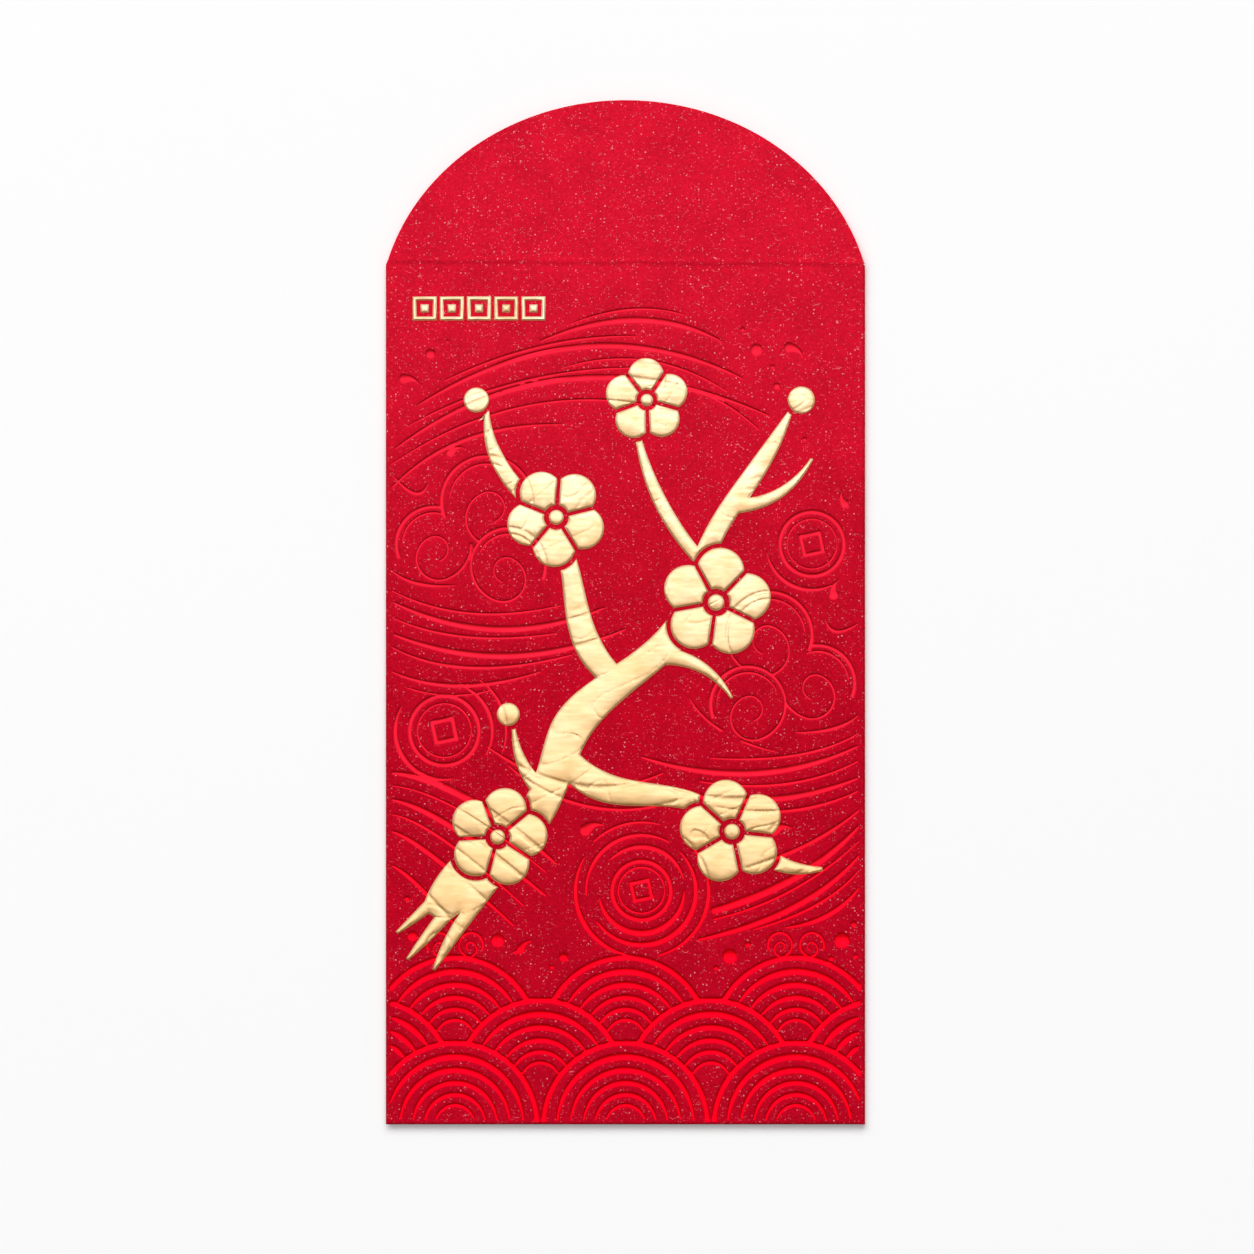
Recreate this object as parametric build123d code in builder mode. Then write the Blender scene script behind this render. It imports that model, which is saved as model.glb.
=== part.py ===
from build123d import *
import os
from math import asin, cos, degrees, radians, sin

# Red gift envelope in millimetres, lying on its back: front up, long axis and open flap along +Y.
# One die-cut sheet of card makes the front, the back, the flap and two glue tabs.
# Its front carries stamped foil: red lines of waves, clouds, coins and wind, and a raised gold plum branch.

# Card and pocket
POCKET_WIDTH = 90.0
POCKET_HEIGHT = 162.0
CARD = 0.35
GLUE = 0.08
POCKET_GAP = 0.27

# Flap and its scored crease
FLAP_HEIGHT = 30.3
FLAP_RADIUS_X = 46.4
FLAP_RADIUS_Y = 41.4
CREASE_BAND = 0.8
CREASE_INSET = 0.1
CREASE_RIDGE = 0.06
SCORE_DEPTH = 0.12

# Back panel and glue tabs
BACK_INSET = 0.6
MOUTH_STEP = 1.8
MOUTH_CHAMFER = 2.0
SIDE_TAB = 12.0
BOTTOM_TAB = 14.0
TAB_CORNER_GAP = 1.2
TAB_SLANT = 3.0
GLUE_WIDTH = 6.0
GLUE_END = 4.0

# Stamped foil, and how far each kind keeps from the edges and from its neighbours
RED_HEIGHT = 0.05
GOLD_HEIGHT = 0.32
FOIL_MARGIN = 0.3
RED_TO_GOLD = 0.25
BRANCH_TO_BLOSSOM = 0.7

# Waves: rows of overlapping scallops
WAVE_RADIUS = 16.0
WAVE_RISE = 8.0
WAVE_ROWS = 3
WAVE_LINE = 1.2

# Clouds: lobes as (x, y, radius, start angle, sense), and tails as the start, middle and end of bowed lines
CLOUD_LINE = 1.0
VOLUTE_LEAD = 270
VOLUTE_REACH = (1.0, 0.6)
CLOUDS = {
    "red_cloud_left": (
        ((-36, 28, 7.5, 200, -1), (-26, 36, 9.0, 200, -1), (-22, 24, 7.5, 340, 1)),
        (((-43.5, 17), (-24, 12), (-4, 16)), ((-43.5, 11), (-22, 7), (0, 12))),
    ),
    "red_cloud_right": (
        ((36, 2, 7.5, 340, 1), (27, 11, 8.5, 340, 1), (23, -2, 7.5, 200, -1)),
        (((43.5, -10), (24, -15), (3, -12)), ((43.5, -16), (26, -20), (8, -18))),
    ),
}

# Streams of wind, as the start, middle and end of bowed lines like the clouds' tails
STREAMS = (
    ((-43, 46), (-10, 59), (27, 52)),
    ((-39, 54), (-8, 65), (22, 59)),
    ((-16, 66), (2, 70), (18, 66)),
)
TAIL_WIDTH = 1.1
TAIL_TIP = 0.35

# Coins as (x, y, radius), with a square frame round a square hole
COINS = ((35, 28, 6.5), (-34, -7, 7.0))
COIN_LINE = 1.0
COIN_FRAME = 0.7
COIN_HOLE = 0.4
COIN_TURN = 12

# Branch: brush strokes as points and half widths, with a ragged foot of bristle tips and short spurs
BRANCHES = (
    (
        ((-36, -42), (-27, -32), (-17, -23), (-11, -8), (0, 3), (10, 12), (15, 26), (22, 38), (31, 53)),
        (2.6, 4.4, 3.3, 3.8, 3.0, 2.8, 2.0, 1.9, 0.4),
    ),
    (((-12, -11), (2, -19), (14, -21), (25, -30), (37, -33)), (2.2, 2.6, 1.8, 1.7, 0.4)),
    (((-1, 2), (-9, 15), (-12, 28), (-20, 38), (-26, 53)), (2.0, 2.4, 1.6, 1.5, 0.4)),
    (((14, 25), (6, 37), (2, 50)), (1.2, 1.3, 0.4)),
    (((-43, -45), (-36, -39), (-28, -30)), (0.3, 1.3, 1.0)),
    (((-41, -50), (-35, -43), (-27, -33)), (0.3, 1.4, 1.0)),
    (((-36, -52), (-32, -45), (-24, -35)), (0.3, 1.4, 1.0)),
    (((-14, -20), (-19, -14), (-21, -6)), (1.8, 1.2, 0.3)),
    (((6, 7), (14, 5), (20, -1)), (1.8, 1.1, 0.3)),
    (((20, 35), (28, 37), (35, 44)), (1.4, 1.0, 0.3)),
)

# Blossoms as (x, y, radius, turn) and buds as (x, y, radius)
BLOSSOMS = (
    (17, 17, 10.5, 10),
    (-13, 33, 9.5, 50),
    (20, -26, 10.0, 30),
    (-24, -27, 9.5, 75),
    (4, 55, 8.0, 20),
)
BUDS = ((33, 55, 2.6), (-28, 55, 2.4), (-22, -4, 2.2))
PETALS = 5
PETAL_REACH = 0.56
PETAL_SIZE = 0.43
PETAL_GAP = 0.6
HEART = 0.15
HEART_RING = 0.24

# Strip of fret squares below the mouth
FRET_CENTRE = (-27.5, 72.2)
FRET_COUNT = 5
FRET_SIZE = 4.6
FRET_PITCH = 5.1
FRET_LINE = 0.8
FRET_CORE = 1.6

# Levels and edges that follow from those
TAB_BOTTOM = CARD + GLUE
TAB_TOP = TAB_BOTTOM + CARD
FRONT_BOTTOM = TAB_TOP + POCKET_GAP
FRONT_TOP = FRONT_BOTTOM + CARD
SPINE_RADIUS = FRONT_TOP / 2
TAB_FOLD_RADIUS = (FRONT_TOP - TAB_BOTTOM) / 2
TAB_FOLD_LEVEL = TAB_BOTTOM + TAB_FOLD_RADIUS
LEFT = -POCKET_WIDTH / 2
RIGHT = POCKET_WIDTH / 2
BOTTOM = -POCKET_HEIGHT / 2
CREASE = POCKET_HEIGHT / 2
FRONT_LEFT = LEFT + TAB_FOLD_RADIUS
FRONT_RIGHT = RIGHT - SPINE_RADIUS
FRONT_LOW = BOTTOM + TAB_FOLD_RADIUS
FRONT_HIGH = CREASE - CREASE_BAND / 2
BACK_HIGH = CREASE - MOUTH_STEP
FLAP_LOW = CREASE + CREASE_BAND / 2
FLAP_CENTRE = CREASE + FLAP_HEIGHT - FLAP_RADIUS_Y
FLAP_START = degrees(asin((FLAP_LOW - FLAP_CENTRE) / FLAP_RADIUS_Y))
FLAP_HALF_WIDTH = FLAP_RADIUS_X * cos(radians(FLAP_START))

os.makedirs("parts", exist_ok=True)


def finish(builder, name):
    """Label a finished piece and write its STEP file."""
    builder.part.label = name
    export_step(builder.part, f"parts/{name}.step")


def panel(corners):
    """Flat panel outline through its corners."""
    with BuildLine() as outline:
        Polyline(*corners, close=True)
    make_face(outline.edges())


def band(centre, radius, width, start, sweep):
    """Curved band of even width about an arc."""
    with BuildLine() as outline:
        outer = CenterArc(centre, radius + width / 2, start, sweep)
        inner = CenterArc(centre, radius - width / 2, start, sweep)
        Line(outer @ 0, inner @ 0)
        Line(outer @ 1, inner @ 1)
    make_face(outline.edges())


def fold_section(centre, level, radius, start):
    """Half ring of bent card, from the start angle round half a turn."""
    band((centre, level), radius - CARD / 2, CARD, start, 180)


def stroke(points, widths):
    """Brush stroke along a curve through points, with half widths spread evenly over its length."""
    path = Edge.make_spline(points)
    left = []
    right = []
    for index, width in enumerate(widths):
        place = index / (len(widths) - 1)
        point = path.position_at(place)
        along = path.tangent_at(place)
        side = Vector(-along.Y, along.X) * width
        left.append(point + side)
        right.append(point - side)
    with BuildLine() as outline:
        one = Spline(*left)
        two = Spline(*right)
        Line(one @ 0, two @ 0)
        Line(one @ 1, two @ 1)
    make_face(outline.edges())


def crescent(start, middle, end):
    """Bowed line that is broad in the middle and fine at its tips."""
    chord = Vector(end) - Vector(start)
    side = Vector(-chord.Y, chord.X).normalized()
    tip = side * TAIL_TIP / 2
    belly = side * TAIL_WIDTH / 2
    with BuildLine() as outline:
        one = ThreePointArc(Vector(start) + tip, Vector(middle) + belly, Vector(end) + tip)
        two = ThreePointArc(Vector(start) - tip, Vector(middle) - belly, Vector(end) - tip)
        Line(one @ 0, two @ 0)
        Line(one @ 1, two @ 1)
    make_face(outline.edges())


def ring(radius, width):
    """Round line that wipes out whatever lies behind it."""
    Circle(radius)
    Circle(radius - width, mode=Mode.SUBTRACT)


def volute(x, y, radius, angle, sense):
    """Round cloud lobe whose outline winds inwards, wiping out whatever lies behind it."""
    with Locations((x, y)):
        Circle(radius)
        Circle(radius, mode=Mode.SUBTRACT)
    outside = radius - CLOUD_LINE / 2
    sweep = sense * VOLUTE_LEAD
    last = outside
    for share in VOLUTE_REACH:
        reach = outside * share
        x += (last - reach) * cos(radians(angle))
        y += (last - reach) * sin(radians(angle))
        band((x, y), reach, CLOUD_LINE, angle, sweep)
        angle += sweep
        sweep = sense * 180
        last = reach


def blossom(x, y, radius, turn, grow=0.0, mode=Mode.ADD):
    """Round petals about a filled middle, each edge moved out by grow."""
    with Locations(Location((x, y), turn)):
        Circle(radius * PETAL_REACH, mode=mode)
        with PolarLocations(radius * PETAL_REACH, PETALS):
            Circle(radius * PETAL_SIZE + grow, mode=mode)


def clip_to_front():
    """Keep only the foil on the flat of the front panel."""
    with Locations(((FRONT_LEFT + FRONT_RIGHT) / 2, (FRONT_LOW + FRONT_HIGH) / 2)):
        Rectangle(
            FRONT_RIGHT - FRONT_LEFT - 2 * FOIL_MARGIN,
            FRONT_HIGH - FRONT_LOW - 2 * FOIL_MARGIN,
            mode=Mode.INTERSECT,
        )


# Front panel, between its three folds and the crease of the flap
with BuildPart() as front_panel:
    with BuildSketch(Plane.XY.offset(FRONT_BOTTOM)):
        panel(
            [
                (FRONT_LEFT, FRONT_LOW),
                (FRONT_RIGHT, FRONT_LOW),
                (FRONT_RIGHT, FRONT_HIGH),
                (FRONT_LEFT, FRONT_HIGH),
            ]
        )
    extrude(amount=CARD)
finish(front_panel, "front_panel")

# Back panel, with its cut edges just inside the folds and a lower mouth edge
with BuildPart() as back_panel:
    with BuildSketch():
        panel(
            [
                (LEFT + BACK_INSET, BOTTOM + BACK_INSET),
                (FRONT_RIGHT, BOTTOM + BACK_INSET),
                (FRONT_RIGHT, BACK_HIGH),
                (LEFT + BACK_INSET + MOUTH_CHAMFER, BACK_HIGH),
                (LEFT + BACK_INSET, BACK_HIGH - MOUTH_CHAMFER),
            ]
        )
    extrude(amount=CARD)
finish(back_panel, "back_panel")

# Fold on the right from the front round to the back, cut slanting at the mouth
mouth_cut = Plane(origin=(0, FRONT_HIGH, FRONT_TOP), z_dir=(0, FRONT_TOP, BACK_HIGH - FRONT_HIGH))
with BuildPart() as spine_fold:
    with BuildSketch(Plane.XZ.offset(-FRONT_HIGH)):
        fold_section(FRONT_RIGHT, SPINE_RADIUS, SPINE_RADIUS, -90)
    extrude(amount=FRONT_HIGH - BOTTOM)
    split(bisect_by=mouth_cut, keep=Keep.BOTTOM)
finish(spine_fold, "spine_fold")

# Folds on the left and at the bottom, from the front round to the glue tabs, mitred at the corner
corner_mitre = Plane(origin=(LEFT, BOTTOM, 0), z_dir=(1, -1, 0))
with BuildPart() as left_fold:
    with BuildSketch(Plane.XZ.offset(-FRONT_HIGH)):
        fold_section(FRONT_LEFT, TAB_FOLD_LEVEL, TAB_FOLD_RADIUS, 90)
    extrude(amount=FRONT_HIGH - BOTTOM)
    split(bisect_by=corner_mitre, keep=Keep.BOTTOM)
finish(left_fold, "left_fold")

with BuildPart() as bottom_fold:
    with BuildSketch(Plane.YZ.offset(LEFT)):
        fold_section(FRONT_LOW, TAB_FOLD_LEVEL, TAB_FOLD_RADIUS, 90)
    extrude(amount=FRONT_RIGHT - LEFT)
    split(bisect_by=corner_mitre, keep=Keep.TOP)
finish(bottom_fold, "bottom_fold")

# Glue tabs inside the pocket, with slanted ends that clear each other
with BuildPart() as side_glue_tab:
    with BuildSketch(Plane.XY.offset(TAB_BOTTOM)):
        panel(
            [
                (FRONT_LEFT, FRONT_LOW + TAB_CORNER_GAP),
                (FRONT_LEFT + SIDE_TAB, FRONT_LOW + TAB_CORNER_GAP + SIDE_TAB),
                (FRONT_LEFT + SIDE_TAB, BACK_HIGH - 2 * TAB_SLANT),
                (FRONT_LEFT, BACK_HIGH - TAB_SLANT),
            ]
        )
    extrude(amount=CARD)
finish(side_glue_tab, "side_glue_tab")

with BuildPart() as bottom_glue_tab:
    with BuildSketch(Plane.XY.offset(TAB_BOTTOM)):
        panel(
            [
                (FRONT_LEFT + TAB_CORNER_GAP, FRONT_LOW),
                (FRONT_RIGHT - TAB_SLANT, FRONT_LOW),
                (FRONT_RIGHT - 2 * TAB_SLANT, FRONT_LOW + BOTTOM_TAB),
                (FRONT_LEFT + TAB_CORNER_GAP + BOTTOM_TAB, FRONT_LOW + BOTTOM_TAB),
            ]
        )
    extrude(amount=CARD)
finish(bottom_glue_tab, "bottom_glue_tab")

# Films of glue that hold the back panel to the tabs
glue_low = FRONT_LOW + TAB_CORNER_GAP + SIDE_TAB
glue_high = BACK_HIGH - 2 * TAB_SLANT - GLUE_END
with BuildPart() as side_seam_glue:
    with BuildSketch(Plane.XY.offset(CARD)):
        with Locations((FRONT_LEFT + SIDE_TAB / 2, (glue_low + glue_high) / 2)):
            Rectangle(GLUE_WIDTH, glue_high - glue_low)
    extrude(amount=GLUE)
finish(side_seam_glue, "side_seam_glue")

glue_left = FRONT_LEFT + TAB_CORNER_GAP + BOTTOM_TAB
glue_right = FRONT_RIGHT - 2 * TAB_SLANT - GLUE_END
with BuildPart() as bottom_seam_glue:
    with BuildSketch(Plane.XY.offset(CARD)):
        with Locations(((glue_left + glue_right) / 2, FRONT_LOW + BOTTOM_TAB / 2)):
            Rectangle(glue_right - glue_left, GLUE_WIDTH)
    extrude(amount=GLUE)
finish(bottom_seam_glue, "bottom_seam_glue")

# Scored crease between the front and the flap: a low ridge outside over a groove inside,
# with ends that slant from the folds in to the foot of the flap
with BuildPart() as flap_crease:
    with BuildSketch(Plane.YZ.offset(LEFT)):
        with BuildLine():
            ridge = ThreePointArc(
                (FRONT_HIGH, FRONT_TOP), (CREASE, FRONT_TOP + CREASE_RIDGE), (FLAP_LOW, FRONT_TOP)
            )
            groove = ThreePointArc(
                (FRONT_HIGH, FRONT_BOTTOM), (CREASE, FRONT_BOTTOM + SCORE_DEPTH), (FLAP_LOW, FRONT_BOTTOM)
            )
            Line(ridge @ 0, groove @ 0)
            Line(ridge @ 1, groove @ 1)
        make_face()
    extrude(amount=POCKET_WIDTH)
    with BuildSketch():
        panel(
            [
                (LEFT + CREASE_INSET, FRONT_HIGH),
                (RIGHT - CREASE_INSET, FRONT_HIGH),
                (FLAP_HALF_WIDTH, FLAP_LOW),
                (-FLAP_HALF_WIDTH, FLAP_LOW),
            ]
        )
    extrude(amount=FRONT_TOP + CREASE_RIDGE, mode=Mode.INTERSECT)
finish(flap_crease, "flap_crease")

# Flap with a half-oval edge
with BuildPart() as flap:
    with BuildSketch(Plane.XY.offset(FRONT_BOTTOM)):
        with BuildLine():
            edge = EllipticalCenterArc(
                (0, FLAP_CENTRE), FLAP_RADIUS_X, FLAP_RADIUS_Y, FLAP_START, arc_size=180 - 2 * FLAP_START
            )
            Line(edge @ 0, edge @ 1)
        make_face()
    extrude(amount=CARD)
finish(flap, "flap")

# Gold foil: plum blossoms, petal by petal round a small heart
with BuildPart() as gold_blossoms:
    with BuildSketch(Plane.XY.offset(FRONT_TOP)):
        for x, y, radius, turn in BLOSSOMS:
            blossom(x, y, radius, turn)
            with Locations(Location((x, y), turn)):
                with PolarLocations(radius / 2, PETALS, start_angle=180 / PETALS):
                    Rectangle(radius, PETAL_GAP, mode=Mode.SUBTRACT)
                Circle(radius * HEART_RING, mode=Mode.SUBTRACT)
                Circle(radius * HEART)
    extrude(amount=GOLD_HEIGHT)
finish(gold_blossoms, "gold_blossoms")

# Gold foil: the branch, in brush strokes that stop short of the blossoms and buds in front of it
with BuildPart() as gold_branch:
    with BuildSketch(Plane.XY.offset(FRONT_TOP)):
        for points, widths in BRANCHES:
            stroke(points, widths)
        for x, y, radius, turn in BLOSSOMS:
            blossom(x, y, radius, turn, BRANCH_TO_BLOSSOM, Mode.SUBTRACT)
        for x, y, radius in BUDS:
            with Locations((x, y)):
                Circle(radius + BRANCH_TO_BLOSSOM, mode=Mode.SUBTRACT)
    extrude(amount=GOLD_HEIGHT)
finish(gold_branch, "gold_branch")

# Gold foil: round buds at the ends of the twigs
with BuildPart() as gold_buds:
    with BuildSketch(Plane.XY.offset(FRONT_TOP)):
        for x, y, radius in BUDS:
            with Locations((x, y)):
                Circle(radius)
    extrude(amount=GOLD_HEIGHT)
finish(gold_buds, "gold_buds")

# Gold foil: a short strip of fret squares
with BuildPart() as gold_fret_strip:
    with BuildSketch(Plane.XY.offset(FRONT_TOP)):
        with Locations(FRET_CENTRE):
            with GridLocations(FRET_PITCH, 0, FRET_COUNT, 1):
                Rectangle(FRET_SIZE, FRET_SIZE)
                Rectangle(FRET_SIZE - 2 * FRET_LINE, FRET_SIZE - 2 * FRET_LINE, mode=Mode.SUBTRACT)
                Rectangle(FRET_CORE, FRET_CORE)
    extrude(amount=GOLD_HEIGHT)
finish(gold_fret_strip, "gold_fret_strip")

# Area of the gold with a margin, which the red foil keeps out of
with BuildSketch() as gold_area:
    for points, widths in BRANCHES:
        stroke(points, [width + RED_TO_GOLD for width in widths])
    for x, y, radius, turn in BLOSSOMS:
        blossom(x, y, radius, turn, BRANCH_TO_BLOSSOM)
    for x, y, radius in BUDS:
        with Locations((x, y)):
            Circle(radius + RED_TO_GOLD)

# Red foil: rows of scalloped waves, each row in front of the one above it
with BuildPart() as red_sea_waves:
    with BuildSketch(Plane.XY.offset(FRONT_TOP)):
        for row in reversed(range(WAVE_ROWS)):
            shift = WAVE_RADIUS * (row % 2)
            centres = [(2 * WAVE_RADIUS * i - shift, BOTTOM + row * WAVE_RISE) for i in range(-1, 3)]
            with Locations(*centres):
                ring(WAVE_RADIUS, WAVE_LINE)
        clip_to_front()
        add(gold_area.sketch, mode=Mode.SUBTRACT)
    extrude(amount=RED_HEIGHT)
finish(red_sea_waves, "red_sea_waves")

# Red foil: clouds of overlapping volutes with long tails
for cloud_name, (lobes, tails) in CLOUDS.items():
    with BuildPart() as red_cloud:
        with BuildSketch(Plane.XY.offset(FRONT_TOP)):
            for tail in tails:
                crescent(*tail)
            for lobe in lobes:
                volute(*lobe)
            clip_to_front()
            add(gold_area.sketch, mode=Mode.SUBTRACT)
        extrude(amount=RED_HEIGHT)
    finish(red_cloud, cloud_name)

# Red foil: old round coins with a square hole
with BuildPart() as red_coins:
    with BuildSketch(Plane.XY.offset(FRONT_TOP)):
        for x, y, radius in COINS:
            with Locations((x, y)):
                ring(radius, COIN_LINE)
                Rectangle(radius * COIN_FRAME, radius * COIN_FRAME, rotation=COIN_TURN)
                Rectangle(radius * COIN_HOLE, radius * COIN_HOLE, rotation=COIN_TURN, mode=Mode.SUBTRACT)
        add(gold_area.sketch, mode=Mode.SUBTRACT)
    extrude(amount=RED_HEIGHT)
finish(red_coins, "red_coins")

# Red foil: streams of wind across the top
with BuildPart() as red_wind_streams:
    with BuildSketch(Plane.XY.offset(FRONT_TOP)):
        for stream in STREAMS:
            crescent(*stream)
        clip_to_front()
        add(gold_area.sketch, mode=Mode.SUBTRACT)
    extrude(amount=RED_HEIGHT)
finish(red_wind_streams, "red_wind_streams")
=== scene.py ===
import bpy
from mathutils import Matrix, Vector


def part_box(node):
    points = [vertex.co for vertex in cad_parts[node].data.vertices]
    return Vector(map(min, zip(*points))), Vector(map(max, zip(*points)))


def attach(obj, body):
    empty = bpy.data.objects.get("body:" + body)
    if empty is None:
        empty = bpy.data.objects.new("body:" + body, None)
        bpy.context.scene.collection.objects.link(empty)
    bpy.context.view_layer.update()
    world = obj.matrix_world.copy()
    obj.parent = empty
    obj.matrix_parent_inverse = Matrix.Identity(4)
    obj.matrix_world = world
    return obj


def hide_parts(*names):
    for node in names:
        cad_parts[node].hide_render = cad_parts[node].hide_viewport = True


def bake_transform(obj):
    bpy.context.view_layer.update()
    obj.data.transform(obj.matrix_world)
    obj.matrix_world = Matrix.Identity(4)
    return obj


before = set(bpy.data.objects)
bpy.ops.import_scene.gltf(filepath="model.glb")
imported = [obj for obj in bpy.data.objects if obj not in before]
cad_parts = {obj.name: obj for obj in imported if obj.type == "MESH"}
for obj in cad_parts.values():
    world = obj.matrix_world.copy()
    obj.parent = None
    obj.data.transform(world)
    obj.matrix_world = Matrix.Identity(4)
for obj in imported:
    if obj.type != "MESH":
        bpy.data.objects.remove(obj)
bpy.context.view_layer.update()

from functools import lru_cache
from math import atan2, ceil, cos, floor, hypot, pi, radians, sin, tanh

import bmesh
import bpy
import numpy as np
from bpy.props import FloatProperty, FloatVectorProperty, PointerProperty
from mathutils import Vector, noise
from mathutils.bvhtree import BVHTree
from mathutils.geometry import delaunay_2d_cdt

bl_info = {
    "name": "Red Gift Envelope",
    "version": (1, 0, 0),
    "blender": (4, 5, 0),
    "location": "View3D > Sidebar > Envelope",
    "description": "Models a red gift envelope of pearl card with stamped red and gold foil",
    "category": "Add Mesh",
}

MM = 0.001

# Edges and levels of the folded card, read from the frame
FRONT_LOW_CORNER, FRONT_HIGH_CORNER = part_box("front_panel")
CREASE_LOW_CORNER, CREASE_HIGH_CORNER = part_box("flap_crease")
FLAP_LOW_CORNER, FLAP_HIGH_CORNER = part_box("flap")
FRONT_TOP = FRONT_HIGH_CORNER.z
CARD = FRONT_HIGH_CORNER.z - FRONT_LOW_CORNER.z

# Slack for points that count as one, cuts through them, and spots that count as level
WELD = 0.002 * MM
CUT_SLACK = 0.001 * MM
LEVEL_SLACK = 0.01 * MM

# Back: its cut corner, the spacing of its points, and how far from a tab it takes to sink
MOUTH_CHAMFER = 2 * MM
BACK_STEP = 1 * MM
SINK_REACH = 3 * MM

# Flap: an ellipse cut off at the crease, with lines of points across it, and the strips of the crease
FLAP_RADII = (46.4 * MM, 41.4 * MM)
FLAP_CENTRE = 69.9 * MM
FLAP_SEGMENTS = 512
FLAP_COLUMNS = range(-44, 45)
FLAP_ROWS = (81.5, 81.65, 81.8, 82.0, 82.3)
CREASE_STRIPS = 10

# Angles past which an edge shows as sharp
CARD_SHARP = 35
RED_SHARP = 60
GOLD_SHARP = 50

# Area of the front that the foil keeps to, in millimetres
FOIL_MARGIN = 0.3
FOIL_LEFT = FRONT_LOW_CORNER.x / MM + FOIL_MARGIN
FOIL_RIGHT = FRONT_HIGH_CORNER.x / MM - FOIL_MARGIN
FOIL_LOW = FRONT_LOW_CORNER.y / MM + FOIL_MARGIN
FOIL_HIGH = FRONT_HIGH_CORNER.y / MM - FOIL_MARGIN

# Waves: rows of overlapping scallops, each with finer bands inside as (radius, width)
WAVE_RADIUS = 16.0
WAVE_RISE = 8.0
WAVE_ROWS = 3
WAVE_FOOT = -81.0
WAVE_COLUMNS = range(-1, 3)
WAVE_LINE = 1.2
WAVE_BANDS = ((12.8, 1.15), (10.3, 1.05), (7.9, 0.95), (5.7, 0.85), (3.7, 0.7))
CREST_CURLS = ((-35, -47.2, 2.6, 200, -1), (-29, -47.2, 2.6, 340, 1),
               (29, -47.2, 2.6, 200, -1), (35, -47.2, 2.6, 340, 1))
CURL_LINE = 0.7

# Clouds: lobes as (x, y, radius, start angle, sense) and tails as (start, middle, end, width)
CLOUD_LINE = 1.0
VOLUTE_LEAD = 270
VOLUTE_TURN = 180
VOLUTE_REACH = (1.0, 0.6, 0.34)
ECHO_REACH, ECHO_START, ECHO_SWEEP, ECHO_LINE = 0.78, 25, 150, 0.5
CLOUDS = {
    "red_cloud_left": (
        ((-36, 28, 7.5, 200, -1), (-26, 36, 9.0, 200, -1), (-22, 24, 7.5, 340, 1)),
        (((-43.5, 17), (-24, 12), (-4, 16), 1.1), ((-43.5, 11), (-22, 7), (0, 12), 1.1),
         ((-43.8, 19.2), (-29, 15), (-12, 16.5), 0.6), ((-43.8, 14.2), (-30, 10.6), (-13, 11.2), 0.6),
         ((-43.8, 8.6), (-29, 4.8), (-10, 7.2), 0.7), ((-43.8, 41), (-39.5, 37.5), (-37, 39.5), 0.7),
         ((-43.8, 23), (-39, 20.6), (-32, 20.2), 0.7)),
    ),
    "red_cloud_right": (
        ((36, 2, 7.5, 340, 1), (27, 11, 8.5, 340, 1), (23, -2, 7.5, 200, -1)),
        (((43.5, -10), (24, -15), (3, -12), 1.1), ((43.5, -16), (26, -20), (8, -18), 1.1),
         ((43.6, -7.6), (32, -11.6), (16, -12.2), 0.6), ((43.6, -12.8), (30, -17), (14, -16.6), 0.6),
         ((43.6, -18.4), (31, -22), (17, -21.4), 0.7), ((43.6, 13), (39.5, 11.6), (37.5, 14), 0.7),
         ((43.6, -4.2), (39, -6.6), (32, -7.4), 0.7)),
    ),
}

# Streams of wind and currents of water, as (start, middle, end, width)
STREAMS = (
    ((-43, 46), (-10, 59), (27, 52), 1.1), ((-39, 54), (-8, 65), (22, 59), 1.1),
    ((-16, 66), (2, 70), (18, 66), 1.1), ((-43.8, 43), (-18, 54), (9, 53), 0.6),
    ((-41, 50), (-19, 58.6), (5, 61), 0.6), ((-34, 58.6), (-16, 65), (2, 67), 0.7),
    ((-12, 61), (4, 62.4), (19, 56.6), 0.6), ((-10, 69.4), (1, 72), (11, 71), 0.6),
    ((-43.8, 38.6), (-30, 47.6), (-12, 50.4), 0.8), ((4, 57.6), (15, 56), (25, 49.4), 0.6),
)
CURRENTS = (
    ((43.8, -25), (27, -37), (3, -43.6), 1.3), ((43.8, -30.5), (31, -40.4), (12, -46.6), 1.1),
    ((43.8, -36.5), (38, -41.6), (30, -44), 0.9), ((43.8, -22), (34, -28.4), (22, -33), 0.8),
    ((43.8, -27.8), (30, -37.6), (14, -43), 0.5), ((43.8, -33.2), (36, -39.6), (24, -44.4), 0.6),
    ((-43.8, -15), (-30, -19.6), (-13, -32), 1.3), ((-43.8, -20), (-32, -25.4), (-15, -38), 1.1),
    ((-43.8, -26), (-35.6, -31), (-21, -43.6), 0.9), ((-43.8, -32.4), (-39, -36), (-31, -44.6), 0.8),
    ((-43.8, -17.4), (-31, -22), (-15, -33.6), 0.5), ((-43.8, -22.8), (-34, -27.6), (-19, -40), 0.6),
    ((-43.8, 4), (-31, 1.4), (-16, 4), 0.8), ((-26, -10), (-9, -17.4), (7, -15), 0.9),
    ((-22, -13.6), (-6, -21.4), (12, -19.4), 0.7), ((-41, 1), (-33, -0.4), (-25, 0.6), 0.5),
    ((12, -1), (18, -7), (28, -11), 0.6),
)
WHIRL_REACH = (3, -37, 14.2)

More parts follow.
